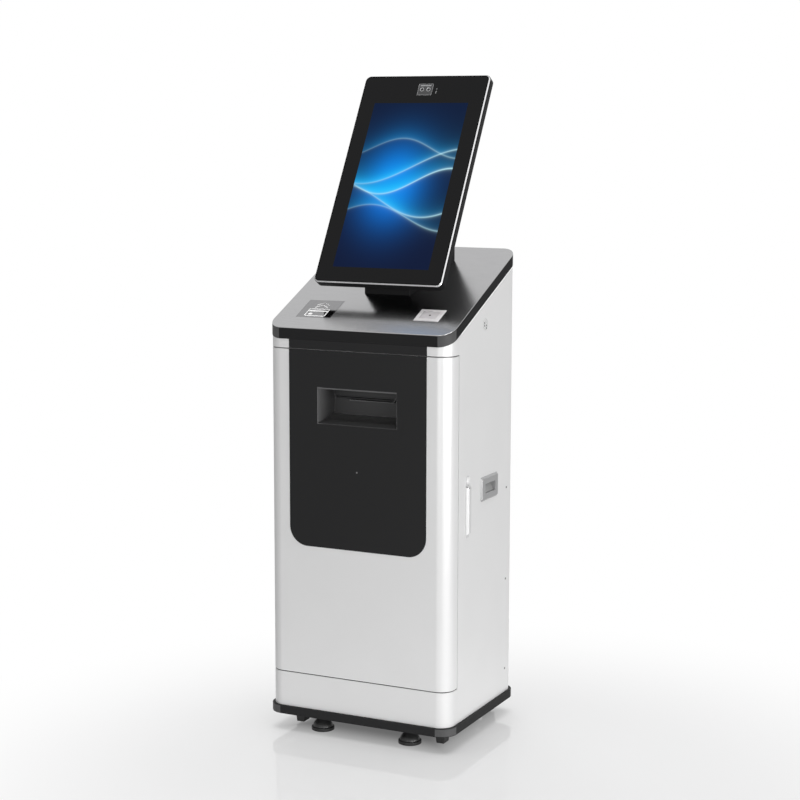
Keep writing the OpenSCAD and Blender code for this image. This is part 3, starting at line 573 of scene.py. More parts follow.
# Painted reflection: a lighter grey for strips on the round corners, where the lamps' reflection falls.
CORNER_SHEEN_CAP = MouldedPlastic("grey_corner_painted_sheen", (0.085, 0.085, 0.086), 0.5, 0.2)
GLOSS_BLACK = MouldedPlastic("gloss_black_plastic", (0.006, 0.006, 0.007), 0.1, 0.5, 2 * MM, 0.001 * MM)
DARK_PLASTIC = MouldedPlastic("dark_grained_plastic", (0.026, 0.026, 0.027))
# Recess lining: dust and painted light on its floor, painted light near its opening, painted shade towards
# its top.
CHUTE_PLASTIC = DustAndPaintedLightPlastic("chute_plastic", dust_and_light=(0.31, 0.31, 0.31), shaded=0.36)
RETURN_GREY = PowderCoat("grey_return_coat", (0.13, 0.13, 0.132), 0.45, 0.2)
LIP_COAT = PowderCoat("dark_lip_coat", (0.13, 0.13, 0.131), 0.4, 0.3)
SEAL_BLACK = MouldedPlastic("black_glass_seal", (0.004, 0.004, 0.004), 0.6, 0.05)
SPECKLED = MouldedPlastic("speckled_window", (0.05, 0.05, 0.052), 0.3, 0.4, 1.4 * MM, 0.05 * MM)
GREY_PLASTIC = MouldedPlastic("grey_satin_plastic", (0.30, 0.30, 0.305), 0.4)
# Partly painted shade: the seam gaskets' dark colours stand for the shade in the seams, the lower darker than
# the upper.
SEAM_DARK = MouldedPlastic("seam_gasket_dark", (0.03, 0.03, 0.03), 0.6)
SEAM_GREY = MouldedPlastic("seam_gasket_grey", (0.14, 0.14, 0.14), 0.6)
FILTER_FOAM = MouldedPlastic("filter_foam", (0.02, 0.02, 0.021), 0.9, 0.1, 3 * MM, 0.9 * MM)
FOOT_NYLON = MouldedPlastic("black_nylon", (0.014, 0.014, 0.014), 0.4)
CASTER_NYLON = MouldedPlastic("caster_nylon", (0.016, 0.016, 0.016), 0.5)
TRAY_PLASTIC = MouldedPlastic("grey_tray_plastic", (0.30, 0.30, 0.31), 0.5)
LIGHT_PIPE = MouldedPlastic("frosted_light_pipe", (0.2, 0.2, 0.2), 0.3)
PRINTED_WHITE = MouldedPlastic("printed_white", (0.88, 0.88, 0.88), 0.5, 0.3)
FROSTED_WINDOW = MouldedPlastic("frosted_window", (0.52, 0.50, 0.51), 0.35, 0.5)
PALE_FRAME = MouldedPlastic("pale_frame_plastic", (0.66, 0.64, 0.65), 0.35, 0.5)
STEEL_TOP = WorkedMetal("polished_steel_sheet", (0.435, 0.435, 0.44), 0.2)
PLATED_STEEL = WorkedMetal("zinc_plated_steel", (0.52, 0.52, 0.53), 0.3)
LIP_STEEL = WorkedMetal("dark_lip_steel", (0.20, 0.20, 0.205), 0.35)
TRIM = WorkedMetal("bright_trim", (0.84, 0.84, 0.85), 0.28)
ALLOY_CASE = WorkedMetal("folded_alloy", (0.42, 0.42, 0.43), 0.36)
PULL_GREY = PowderCoat("grey_pull_coat", (0.30, 0.30, 0.305), 0.28, 0.9, 2.4 * MM, 0.003 * MM, 1.7)
BEAD_METAL = WorkedMetal("bright_bead", (0.97, 0.97, 0.975), 0.12)
# Cup liner: its pale tone and paler flats are painted light in the shaded cup, and its darker top is painted
# shade.
CUP_LINER = DustAndPaintedLightPlastic("pale_cup_liner", (0.36, 0.36, 0.36), dust_and_light=(0.40, 0.40, 0.40), shady=(0.634, 0.648))
# Painted shade: the backplate is a little greyer than the panel, to outline the lever as its shadow would.
BACKPLATE_SHADE_GREY = PowderCoat("grey_backplate_painted_shade", (0.66, 0.66, 0.665), 0.34, 0.6)
CARD_GLASS = WorkedMetal("dark_card_mirror", (0.27, 0.27, 0.275), 0.07, (3 * MM, 3 * MM, 3 * MM), 0.0005 * MM)
RUBBER = SoftRubber("roller_rubber")


@dataclass(frozen=True)
class Lamp:
    """One soft box of the studio."""

    name: str
    place: Tuple[float, float, float]
    aim: Tuple[float, float, float]
    width: float
    height: float
    watts: float
    mirrored: bool = True


@dataclass
class Studio:
    """Floor, world, lamps and camera."""

    camera_place: Tuple[float, float, float] = (2.1063, -4.3026, 1.5514)
    yaw: float = math.radians(25.905)
    pitch: float = math.radians(8.342)
    roll: float = math.radians(0.106)
    lens: float = 84.58
    sensor: float = 36.0
    floor_half: float = 30.0
    ambient: float = 0.07
    mirrored: float = 1.0
    reach: float = 200.0
    floor_colour: Colour = (0.40, 0.40, 0.402)
    floor_roughness: float = 0.06
    floor_specular: float = 0.14
    floor_lift: float = 0.37
    floor_glow: float = 0.5
    # The fade is centred to the front right of the object, which leaves the floor greyer there: painted
    # shadow.
    floor_middle: Pair = (0.35, -0.35)
    floor_fade: Pair = (0.55, 1.5)
    floor_haze: float = 0.06
    # Painted shadow: the floor's glow falls to under_shade over the object's footprint.
    footprint: Pair = (0.26, 0.218)
    under_edge: Pair = (-0.11, 0.01)
    under_shade: Colour = (0.2, 0.2, 0.2)
    lamps: Tuple[Lamp, ...] = (
        Lamp("key_left", (0.37, -5.99, 0.34), (0.0, 0.0, 0.34), 3.3, 0.6, 50.0),
        Lamp("key_middle", (4.46, -4.01, 0.34), (0.0, 0.0, 0.34), 3.3, 0.6, 110.0),
        Lamp("key_right", (5.87, -1.25, 0.34), (0.0, 0.0, 0.34), 3.3, 0.6, 105.0),
        Lamp("rear_fill", (-3.5, 5.0, 3.0), (0.0, 0.0, 0.8), 3.0, 3.0, 90.0, False),
        Lamp("top_wash", (0.0, 0.3, 9.0), (0.0, 0.0, 0.0), 8.0, 8.0, 820.0, False),
    )

    def build(self) -> None:
        """Makes everything round the object."""
        self.make_world()
        self.make_floor()
        for lamp in self.lamps:
            self.make_lamp(lamp)
        self.make_camera()

    def make_world(self) -> None:
        """Lights the room evenly: white to the camera and in mirrors, dim on surfaces."""
        world = bpy.data.worlds.new("studio")
        bpy.context.scene.world = world
        world.use_nodes = True
        tree = world.node_tree
        tree.nodes.clear()
        path = tree.nodes.new("ShaderNodeLightPath")
        glow = None
        for ray, strength in (("", self.ambient), ("Is Glossy Ray", self.mirrored),
                              ("Is Camera Ray", 1.0), ("Is Transmission Ray", 1.0)):
            sky = tree.nodes.new("ShaderNodeBackground")
            sky.inputs["Color"].default_value = (1.0, 1.0, 1.0, 1.0)
            sky.inputs["Strength"].default_value = strength
            if glow is None:
                glow = sky.outputs[0]
                continue
            mix = tree.nodes.new("ShaderNodeMixShader")
            tree.links.new(path.outputs[ray], mix.inputs[0])
            tree.links.new(glow, mix.inputs[1])
            tree.links.new(sky.outputs[0], mix.inputs[2])
            glow = mix.outputs[0]
        out = tree.nodes.new("ShaderNodeOutputWorld")
        tree.links.new(glow, out.inputs[0])

    def make_floor(self) -> None:
        """Lays a pale floor that fades to white away from the object, with a painted shadow in its glow under
        the object.
        """
        bpy.ops.object.select_all(action="DESELECT")
        bpy.ops.mesh.primitive_plane_add(size=2 * self.floor_half)
        floor = bpy.context.object
        floor.name = "floor"
        graph = Graph("pale_floor")
        x, y, _ = graph.split(graph.point())
        # Painted shadow: the glow is darker over the object's footprint.
        under = (abs(x) - self.footprint[0]).most(abs(y) - self.footprint[1])
        lift = graph.mix(under.ease(*self.under_edge), self.under_shade, (1.0, 1.0, 1.0))
        x, y = x - self.floor_middle[0], y - self.floor_middle[1]
        far = ((x * x + y * y) ** 0.5).ease(*self.floor_fade) * (1 - self.floor_haze) + self.floor_haze
        near = graph.shader({
            "Base Color": self.floor_colour,
            "Roughness": self.floor_roughness,
            "Specular IOR Level": self.floor_specular,
            "Emission Color": lift,
            "Emission Strength": self.floor_lift,
        })
        seen = Signal(graph, graph.node("ShaderNodeLightPath").outputs["Is Camera Ray"])
        away = graph.blend(seen, graph.glow(self.floor_glow), graph.glow(1.0))
        floor.data.materials.append(graph.end(graph.blend(far, near, away)))

    def make_lamp(self, lamp: Lamp) -> None:
        """Hangs one soft box and turns it to its aim.

        Args:
            lamp: The soft box.
        """
        light = bpy.data.lights.new(lamp.name, "AREA")
        light.shape = "RECTANGLE"
        light.size, light.size_y = lamp.width, lamp.height
        light.energy = lamp.watts
        holder = bpy.data.objects.new(lamp.name, light)
        bpy.context.scene.collection.objects.link(holder)
        holder.location = lamp.place
        way = Vector(lamp.aim) - Vector(lamp.place)
        holder.rotation_euler = way.to_track_quat("-Z", "Y").to_euler()
        holder.visible_glossy = lamp.mirrored

    def make_camera(self) -> None:
        """Sets the camera at the photographed view."""
        data = bpy.data.cameras.new("camera")
        data.lens, data.sensor_width = self.lens, self.sensor
        data.clip_end = self.reach
        camera = bpy.data.objects.new("camera", data)
        bpy.context.scene.collection.objects.link(camera)
        ahead = Vector((-math.sin(self.yaw) * math.cos(self.pitch),
                        math.cos(self.yaw) * math.cos(self.pitch), -math.sin(self.pitch)))
        level = Vector((math.cos(self.yaw), math.sin(self.yaw), 0.0))
        rise = level.cross(ahead)
        right = math.cos(self.roll) * level + math.sin(self.roll) * rise
        up = math.cos(self.roll) * rise - math.sin(self.roll) * level
        turn = Matrix((right, up, -ahead)).transposed().to_4x4()
        camera.matrix_world = Matrix.Translation(self.camera_place) @ turn
        bpy.context.scene.camera = camera


class Bench:
    """The modelling bench: each method works on one fresh, selected object."""

    @staticmethod
    def clear() -> None:
        """Leaves edit mode and deselects everything."""
        if bpy.context.object and bpy.context.object.mode != "OBJECT":
            bpy.ops.object.mode_set(mode="OBJECT")
        bpy.ops.object.select_all(action="DESELECT")

    @staticmethod
    def take(piece: bpy.types.Object) -> None:
        """Selects one object alone and makes it the active one.

        Args:
            piece: The object.
        """
        Bench.clear()
        piece.select_set(True)
        bpy.context.view_layer.objects.active = piece

    @staticmethod
    def drop(piece: bpy.types.Object) -> None:
        """Deletes one object."""
        Bench.take(piece)
        bpy.ops.object.delete()

    @staticmethod
    def copy(piece: bpy.types.Object, place: Matrix) -> bpy.types.Object:
        """Copies a piece, with a mesh of its own.

        Args:
            piece: The piece.
            place: Where the copy goes.

        Returns:
            The copy.
        """
        Bench.take(piece)
        bpy.ops.object.duplicate()
        made = bpy.context.object
        made.matrix_world = place
        return made

    @staticmethod
    def copy_node(node: str, name: str) -> bpy.types.Object:
        """Copies a CAD node's mesh and merges its loose triangles into whole faces.

        Args:
            node: The node's name.
            name: The copy's name.

        Returns:
            The copy, which belongs to no body yet.
        """
        Bench.take(frame["nodes"][node])
        bpy.ops.object.duplicate()
        piece = bpy.context.object
        piece.name = piece.data.name = name
        bpy.ops.object.parent_clear(type="CLEAR_KEEP_TRANSFORM")
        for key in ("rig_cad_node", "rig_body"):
            del piece[key]
        bpy.ops.mesh.customdata_custom_splitnormals_clear()
        bpy.ops.object.mode_set(mode="EDIT")
        bpy.ops.mesh.select_all(action="SELECT")
        bpy.ops.mesh.remove_doubles(threshold=0.002 * MM)
        bpy.ops.mesh.dissolve_limited(angle_limit=math.radians(0.6))
        bpy.ops.object.mode_set(mode="OBJECT")
        return piece

    @staticmethod
    def round_edges(piece: bpy.types.Object, width: float, segments: int = 2, angle: float = 35.0) -> None:
        """Rounds the edges that turn by more than an angle, and smooths the shading.

        Args:
            piece: The object.
            width: The width of the rounding.
            segments: Its number of facets.
            angle: The least turn, in degrees.
        """
        Bench.take(piece)
        if width > 0:
            bpy.ops.object.modifier_add(type="BEVEL")
            bevel = piece.modifiers[-1]
            bevel.width, bevel.segments = width, segments
            bevel.limit_method, bevel.angle_limit = "ANGLE", math.radians(angle)
            bpy.ops.object.modifier_apply(modifier=bevel.name)
        bpy.ops.object.shade_smooth_by_angle(angle=math.radians(angle))
        bpy.ops.object.modifier_add(type="WEIGHTED_NORMAL")
        flat = piece.modifiers[-1]
        flat.keep_sharp, flat.weight = True, 100
        bpy.ops.object.modifier_apply(modifier=flat.name)

    @staticmethod
    def close(piece: bpy.types.Object, name: str, place: Optional[Matrix] = None) -> bpy.types.Object:
        """Turns the faces of a mesh drawn in millimetres outwards and bakes its place into it.

        Args:
            piece: The object, in edit mode.
            name: Its name.
            place: The frame that it was drawn in, in metres; the object's own by default.

        Returns:
            The piece, at the origin.
        """
        bpy.ops.mesh.select_all(action="SELECT")
        bpy.ops.mesh.normals_make_consistent(inside=False)
        bpy.ops.object.mode_set(mode="OBJECT")
        piece.name = piece.data.name = name
        piece.matrix_world = (place or Matrix()) @ Matrix.Scale(MM, 4)
        Bench.take(piece)
        bpy.ops.object.transform_apply(location=True, rotation=True, scale=True)
        return piece

    @staticmethod
    def plate(name: str, size: Pair, radius: float, low: float, high: float,
              place: Optional[Matrix] = None, centre: Pair = (0.0, 0.0),
              line: float = 0.0, slope: Pair = (0.0, 0.0), steps: int = 6) -> bpy.types.Object:
        """Draws a plate with rounded corners, or its border alone.

        Args:
            name: The piece's name.
            size: Width and height, in millimetres like the other lengths.
            radius: The corners' radius.
            low: Height of the underside.
            high: Height of the top.
            place: The frame to draw in.
            centre: The plate's middle.
            line: The border's width, or 0 for a full plate.
            slope: How far the edge of the top runs in, and over what height.
            steps: Facets in each corner.

        Returns:
            The plate.
        """
        Bench.clear()
        bpy.ops.mesh.primitive_plane_add(size=1.0)
        piece = bpy.context.object
        bpy.ops.object.mode_set(mode="EDIT")
        bpy.ops.mesh.select_all(action="SELECT")
        bpy.ops.transform.resize(value=(size[0], size[1], 1.0))
        bpy.ops.transform.translate(value=(centre[0], centre[1], low))
        if radius > 0:
            bpy.ops.mesh.bevel(offset=radius, segments=steps, affect="VERTICES")
            bpy.ops.mesh.select_all(action="SELECT")
        if line > 0:
            bpy.ops.mesh.inset(thickness=line, depth=0.0)
            bpy.ops.mesh.delete(type="FACE")
            bpy.ops.mesh.select_all(action="SELECT")
        bpy.ops.mesh.extrude_region_move(TRANSFORM_OT_translate={"value": (0, 0, high - low - slope[1])})
        if slope[0] > 0:
            bpy.ops.mesh.inset(thickness=slope[0], depth=slope[1])
        return Bench.close(piece, name, place)

    @staticmethod
    def turned(name: str, profile: Sequence[Pair], place: Optional[Matrix] = None,
               sides: int = 32) -> bpy.types.Object:
        """Turns a piece about the z axis of its frame.

        Args:
            name: The piece's name.
            profile: Its radius and height at each step, in millimetres.
            place: The frame to draw in.
            sides: Facets round the axis.

        Returns:
            The turned piece.
        """
        Bench.clear()
        bpy.ops.mesh.primitive_circle_add(vertices=sides, radius=profile[0][0], fill_type="NGON")
        piece = bpy.context.object
        bpy.ops.object.mode_set(mode="EDIT")
        bpy.ops.mesh.select_all(action="SELECT")
        bpy.ops.transform.translate(value=(0, 0, profile[0][1]))
        for (wide, low), (next_wide, high) in zip(profile, profile[1:]):
            bpy.ops.mesh.extrude_region_move(TRANSFORM_OT_translate={"value": (0, 0, high - low)})
            bpy.ops.transform.resize(value=(next_wide / wide, next_wide / wide, 1.0))
        return Bench.close(piece, name, place)

    @staticmethod
    def arc(name: str, radius: float, start: float, end: float, depth: float, low: float, high: float,
            place: Optional[Matrix] = None, steps: int = 14) -> bpy.types.Object:
        """Sweeps an upright strip along an arc about the z axis of its frame.

        Args:
            name: The piece's name.
            radius: The strip's outer radius, in millimetres like the other lengths.
            start: The first angle, in degrees.
            end: The last angle.
            depth: The strip's thickness.
            low: Height of its lower edge.
            high: Height of its upper edge.
            place: The frame to draw in.
            steps: Facets along the arc.

        Returns:
            The strip.
        """
        Bench.clear()
        bpy.ops.mesh.primitive_plane_add(size=1.0, rotation=(math.pi / 2, 0, 0))
        piece = bpy.context.object
        bpy.ops.object.transform_apply(location=True, rotation=True, scale=True)
        bpy.ops.object.mode_set(mode="EDIT")
        bpy.ops.mesh.select_all(action="SELECT")
        bpy.ops.transform.resize(value=(depth, 1.0, high - low))
        bpy.ops.transform.translate(value=(radius - depth / 2, 0, (low + high) / 2))
        bpy.ops.transform.rotate(value=-math.radians(start), orient_axis="Z", center_override=(0, 0, 0))
        bpy.ops.mesh.spin(steps=steps, angle=-math.radians(end - start), center=(0, 0, 0), axis=(0, 0, 1))
        return Bench.close(piece, name, place)

    @staticmethod
    def spread(piece: bpy.types.Object, name: str, moves: Sequence[Matrix]) -> bpy.types.Object:
        """Copies a piece to several places and joins the copies into one mesh.

        Args:
            piece: The piece, drawn at the origin; it is used up.
            name: The joined mesh's name.
            moves: The places of the copies.

        Returns:
            The joined copies.
        """
        made = [Bench.copy(piece, move) for move in moves]
        Bench.drop(piece)
        return Bench.join(name, made)

    @staticmethod
    def join(name: str, pieces: Sequence[bpy.types.Object]) -> bpy.types.Object:
        """Joins pieces into one mesh and bakes their places into it.

        Args:
            name: The joined mesh's name.
            pieces: The pieces, which are used up.

        Returns:
            The joined mesh.
        """
        Bench.take(pieces[0])
        for piece in pieces:
            piece.select_set(True)
        bpy.ops.object.transform_apply(location=True, rotation=True, scale=True)
        if len(pieces) > 1:
            bpy.ops.object.join()
        whole = bpy.context.object
        whole.name = whole.data.name = name
        return whole

    @staticmethod
    def cut(piece: bpy.types.Object, tool: bpy.types.Object) -> bpy.types.Object:
        """Takes the shape of a tool out of a piece.

        Args:
            piece: The piece.
            tool: The shape that goes; it is used up.

        Returns:
            The piece.
        """
        Bench.take(piece)
        bpy.ops.object.modifier_add(type="BOOLEAN")
        step = piece.modifiers[-1]
        step.operation, step.solver, step.object = "DIFFERENCE", "EXACT", tool
        bpy.ops.object.modifier_apply(modifier=step.name)
        Bench.drop(tool)
        return piece

    @staticmethod
    def trim(piece: bpy.types.Object, spot: Vector, way: Vector) -> bpy.types.Object:
        """Cuts off what lies beyond a plane.

        Args:
            piece: The piece.
            spot: A point of the plane.
            way: The direction of the side that goes.

        Returns:
            The piece, closed along the cut.
        """
        Bench.take(piece)
        bpy.ops.object.mode_set(mode="EDIT")
        bpy.ops.mesh.select_all(action="SELECT")
        bpy.ops.mesh.bisect(plane_co=spot, plane_no=way, use_fill=True, clear_outer=True)
        bpy.ops.object.mode_set(mode="OBJECT")
        return piece

    @staticmethod
    def islands(node: str) -> List[Vector]:
        """Finds the separate solids of a CAD node.

        Args:
            node: The node's name.

        Returns:
            The middle of each solid.
        """
        Bench.take(Bench.copy_node(node, node + "_islands"))
        bpy.ops.mesh.separate(type="LOOSE")
        boxes = [part.bound_box for part in bpy.context.selected_objects]
        middles = [(Vector(box[0]) + Vector(box[6])) / 2 for box in boxes]
        bpy.ops.object.delete()
        log.info("%s has %d solids", node, len(middles))
        return middles

    @staticmethod
    def fit(piece: bpy.types.Object, body: str, slot: str, finish: Finish, *nodes: str) -> bpy.types.Object:
        """Dresses a piece and puts it on its body.

        Args:
            piece: The finished mesh.
            body: The body that it moves with.
            slot: The record's material slot; not used.
            finish: Its finish.
            nodes: The CAD nodes that it stands for.

        Returns:
            The piece.
        """
        piece.data.materials.clear()
        piece.data.materials.append(finish.material())
        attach(piece, body)
        if nodes:
            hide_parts(*nodes)
        log.info("fitted %s on %s with %s", piece.name, body, finish.name)
        return piece


def body_of(node: str) -> str:
    """Returns the body that a CAD node moves with."""
    return frame["nodes"][node]["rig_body"]


def dress(node: str, finish: Finish) -> None:
    """Gives a CAD node its finish.

    Args:
        node: The node's name.
        finish: The finish.
    """
    holder = frame["nodes"][node]
    holder.data.materials.clear()
    holder.data.materials.append(finish.material())
    log.info("dressed %s with %s", node, finish.name)


def soften(node: str, width: float, finish: Finish, segments: int = 2) -> bpy.types.Object:
    """Stands a copy with rounded edges in for a CAD node.

    Args:
        node: The node's name.
        width: The width of the rounding.
        finish: The copy's finish.
        segments: The rounding's number of facets.

    Returns:
        The copy.
    """
    piece = Bench.copy_node(node, node + "_soft")
    Bench.round_edges(piece, width, segments)
    return Bench.fit(piece, body_of(node), SLOTS[node], finish, node)


class Side(Enum):
    """A side of the kiosk that a piece faces, by its turn about the vertical."""

    FRONT = 0.0
    RIGHT = 90.0
    REAR = 180.0
    LEFT = -90.0

    def at(self, x: float, y: float, z: float) -> Matrix:
        """Returns a frame at a point in millimetres: x along the side, y up and z out of it."""
        turn = Matrix.Rotation(math.radians(self.value), 4, "Z") @ Matrix.Rotation(math.pi / 2, 4, "X")
        return Matrix.Translation(Vector((x, y, z)) * MM) @ turn

    def panel(self, y: float, z: float, out: float = 0.0) -> Matrix:
        """Returns a frame on the left or the right side panel, or some way out of it."""
        return self.at(math.copysign(SIDE_FACE + out, self.value), y, z)


def shift(x: float, y: float, z: float = 0.0) -> Matrix:
    """Returns a move in millimetres."""
    return Matrix.Translation(Vector((x, y, z)) * MM)


def sloped(origin: Tuple[float, float, float], slope: float) -> Matrix:
    """Returns a frame at a point in millimetres, turned up about the x axis by a slope in degrees."""
    return shift(*origin) @ Matrix.Rotation(math.radians(slope), 4, "X")


def cross_screw(radius: float, height: float) -> bpy.types.Object:
    """Models a domed screw head with a cross recess, standing on the origin.

    Args:
        radius: The head's radius, in millimetres.
        height: Its height.

    Returns:
        The screw head.
    """
    head = Bench.turned("screw_head", ((radius, 0.0), (radius, 0.35 * height), (0.86 * radius, 0.75 * height),
                                       (0.55 * radius, 0.95 * height), (0.1 * radius, height)), None, 24)
    for size in ((1.3 * radius, 0.28 * radius), (0.28 * radius, 1.3 * radius)):
        Bench.cut(head, Bench.plate("recess", size, 0.0, 0.35 * height, 2 * height))
    Bench.round_edges(head, 0.0)
    return head


def corner_sheen_caps(radius: float, low: float, high: float, thickness: float = 1.2,
                bare: float = 5.0) -> List[bpy.types.Object]:
    """Models an upright strip for each of the cabinet's round corners, in a lighter grey that paints the
    reflection on them.

    Args:
        radius: The strips' outer radius, in millimetres like the other lengths.
        low: Height of their lower edge.
        high: Height of their upper edge.
        thickness: Their thickness.
        bare: The angle that they leave bare at each end, in degrees.

    Returns:
        The four strips.
    """
    corners = (
        (270.0, 216.0, -173.34),
        (180.0, -216.0, -173.34),
        (0.0, 216.0, 167.66),
        (90.0, -216.0, 167.66),
    )
    return [Bench.arc("cap", radius, start + bare, start + 90.0 - bare, thickness, low, high, shift(x, y))
            for start, x, y in corners]


@dataclass
class Cabinet:
    """Base, panels and fittings that don't move."""

    edge: float = 0.5 * MM
    seam_width: float = 503.4
    seam_corner: float = 35.0
    seam_front: float = -209.0
    seam_rear: float = -158.0
    seam_spare: float = 40.0
    seam_depth: float = 6.0
    seams: Tuple[Tuple[str, float, float], ...] = (("lower", 156.4, 157.9), ("upper", 994.8, 996.3))
    side_screws: float = 240.0
    hinge_heights: Tuple[float, ...] = (276.3, 576.3, 876.4)
    leaves: Tuple[Tuple[str, float, float], ...] = (
        ("hinge_fixed_leaves", -137.0, 27.0),
        ("hinge_door_leaves", -167.0, 7.0),
    )
    leaf_thickness: float = 1.5
    speaker: Pair = (2.66, 1057.0)
    hole_step: float = 7.0
    plug: Profile = ((2.3, -0.2), (2.3, 0.15), (2.0, 0.3), (1.3, 0.2), (0.2, 0.05))
    pull: Tuple[float, float, float] = (32.7, 638.0, 4.5)
    scoop: Pair = (63.2, 23.0)
    scoop_drop: Pair = (-1.6, -11.0)
    scoop_slope: float = -26.0
    vent: Pair = (216.0, 148.0)
    vent_face: float = 199.6
    vent_middles: Tuple[float, ...] = (330.5, 970.5)
    key_lock: Pair = (-172.0, 700.0)
    key_profile: Profile = ((10.0, 0.0), (10.0, 1.0), (9.0, 1.8), (7.6, 1.8), (7.4, 1.3), (0.5, 1.3))
    key_slot: Pair = (1.6, 8.0)
    label: Pair = (100.0, 640.0)
    label_size: Pair = (74.0, 46.0)
    label_thickness: float = 0.6
    rivet_steps: Pair = (33.0, 19.0)
    rivet: Profile = ((2.0, 0.0), (1.8, 0.5), (1.2, 0.8), (0.2, 0.9))
    base_corner: float = 44.6
    base_band: Pair = (46.4, 65.2)

    def build(self) -> None:
        """Dresses the cabinet and fits its details."""
        soften("base_plate", 0.8 * MM, BLACK_BASE)
        for node in ("kick_panel", "side_panel_left", "side_panel_right", "rear_panel", "fascia_corners"):
            soften(node, self.edge, WHITE)
        soften("fascia_centre", self.edge, BLACK_SHEET)
        soften("flush_pulls", 1.4 * MM, PULL_GREY, 3)
        dress("speakers", RUBBER)
        soften("hinge_fixed_leaves", 0.3 * MM, WHITE)
        dress("hinge_pins", PLATED_STEEL)
        soften("mains_inlet", 0.4 * MM, DARK_PLASTIC)
        soften("rocker_switch", 0.5 * MM, DARK_PLASTIC)
        self.fit_seams()
        self.fit_screws()
        self.fit_speaker_plugs()
        self.fit_cup_liners()
        self.fit_rear()
        self.fit_base_sheen_caps()

    def fit_base_sheen_caps(self) -> None:
        """Caps the base plate's round corners with lighter grey strips, which paint the reflection on them.
        """
        piece = Bench.join("base_corner_caps", corner_sheen_caps(self.base_corner, *self.base_band))
        Bench.round_edges(piece, 0.15 * MM)
        Bench.fit(piece, body_of("base_plate"), "dark_plastic", CORNER_SHEEN_CAP)

    def fit_seams(self) -> None:
        """Lays a gasket along the front half of each seam, set back from the panels; its dark colour is
        partly painted shade inside the seams, darker at the lower seam than at the upper one.
        """
        depth = 2 * (self.seam_rear - self.seam_front) + self.seam_spare
        middle = (0.0, self.seam_front + depth / 2)
        for name, low, high in self.seams:
            strip = Bench.plate("seam_gasket_" + name, (self.seam_width, depth), self.seam_corner, low, high,
                                centre=middle, line=self.seam_depth, steps=12)
            Bench.trim(strip, Vector((0.0, self.seam_rear * MM, 0.0)), Vector((0.0, 1.0, 0.0)))
            Bench.round_edges(strip, 0.2 * MM)
            finish = SEAM_DARK if name == "lower" else SEAM_GREY
            Bench.fit(strip, body_of("kick_panel"), "dark_plastic", finish)

    def fit_screws(self) -> None:
        """Puts cross-head screws in the sides, the rear panel and the hinge leaves."""
        moves = []
        for middle in Bench.islands("screws"):
            x, y, z = middle / MM
            if abs(x) > self.side_screws:
                side = Side.RIGHT if x > 0 else Side.LEFT
                moves.append(side.panel(y, z))
            else:
                moves.append(Side.REAR.at(x, REAR_FACE, z))
        heads = Bench.spread(cross_screw(3.0, 1.1), "panel_screws", moves)
        Bench.fit(heads, body_of("screws"), SLOTS["screws"], LIP_STEEL, "screws")
        for leaf, y, step in self.leaves:
            heights = [z + s * step for z in self.hinge_heights for s in (-1, 1)]
            moves = [Side.LEFT.panel(y, z, self.leaf_thickness) for z in heights]
            heads = Bench.spread(cross_screw(2.6, 0.9), leaf + "_screws", moves)
            Bench.fit(heads, body_of(leaf), "plain_steel", PLATED_STEEL)

    def fit_speaker_plugs(self) -> None:
        """Seats a dished rubber plug in each of the four holes beside the middle of each speaker; the plugs'
        dark rubber is partly painted shade inside the holes.
        """
        y, z = self.speaker
        moves = []
        for row, column in ((0, -1), (1, -1), (0, 1), (1, 1)):
            along = self.hole_step * (row + column / 2)
            across = self.hole_step * column * math.sin(math.radians(60.0))
            moves += [side.panel(y + across, z - along) for side in (Side.RIGHT, Side.LEFT)]
        plug = Bench.turned("plug", self.plug, None, 20)
        Bench.round_edges(plug, 0.0)
        Bench.fit(Bench.spread(plug, "speaker_plugs", moves), body_of("speakers"), "dark_plastic", RUBBER)

    def fit_cup_liners(self) -> None:
        """Lines the cup of each flush pull with a sloping scoop, whose pale tone is painted light in the
        shaded cup.
        """
        moves = [side.panel(*self.pull) for side in (Side.RIGHT, Side.LEFT)]
        slope = Matrix.Rotation(math.radians(self.scoop_slope), 4, "X")
        scoop = Bench.plate("scoop", self.scoop, 1.0, -0.6, 0.0, shift(0.0, *self.scoop_drop) @ slope)
        piece = Bench.spread(scoop, "pull_liners", moves)
        Bench.fit(piece, body_of("flush_pulls"), SLOTS["flush_pulls"], CUP_LINER)

    def fit_rear(self) -> None:
        """Fits the vent filters, a key lock and a blank plate with its rivets."""
        body = body_of("rear_panel")
        moves = [Side.REAR.at(0.0, self.vent_face, z) for z in self.vent_middles]
        filters = Bench.spread(Bench.plate("filter", self.vent, 4.0, 0.0, 2.4), "vent_filters", moves)
        Bench.fit(filters, body, "dark_plastic", FILTER_FOAM)
        x, z = self.key_lock
        spot = Side.REAR.at(x, REAR_FACE, z)
        keyhole = Bench.turned("rear_key_lock", self.key_profile, spot)
        Bench.cut(keyhole, Bench.plate("slot", self.key_slot, 0.6, 0.4, 4.0, spot))
        Bench.round_edges(keyhole, 0.2 * MM)
        Bench.fit(keyhole, body, "plain_steel", PLATED_STEEL)
        x, z = self.label
        label = Bench.plate("rating_plate", self.label_size, 2.0, 0.0, self.label_thickness,
                            Side.REAR.at(x, REAR_FACE, z), slope=(0.25, 0.25))
        Bench.fit(label, body, "alloy_case", ALLOY_CASE)
        wide, tall = self.rivet_steps
        face = REAR_FACE + self.label_thickness
        moves = [Side.REAR.at(x + i * wide, face, z + k * tall) for i in (-1, 1) for k in (-1, 1)]
        rivets = Bench.spread(Bench.turned("rivet", self.rivet, None, 16), "plate_rivets", moves)
        Bench.fit(rivets, body, "plain_steel", PLATED_STEEL)


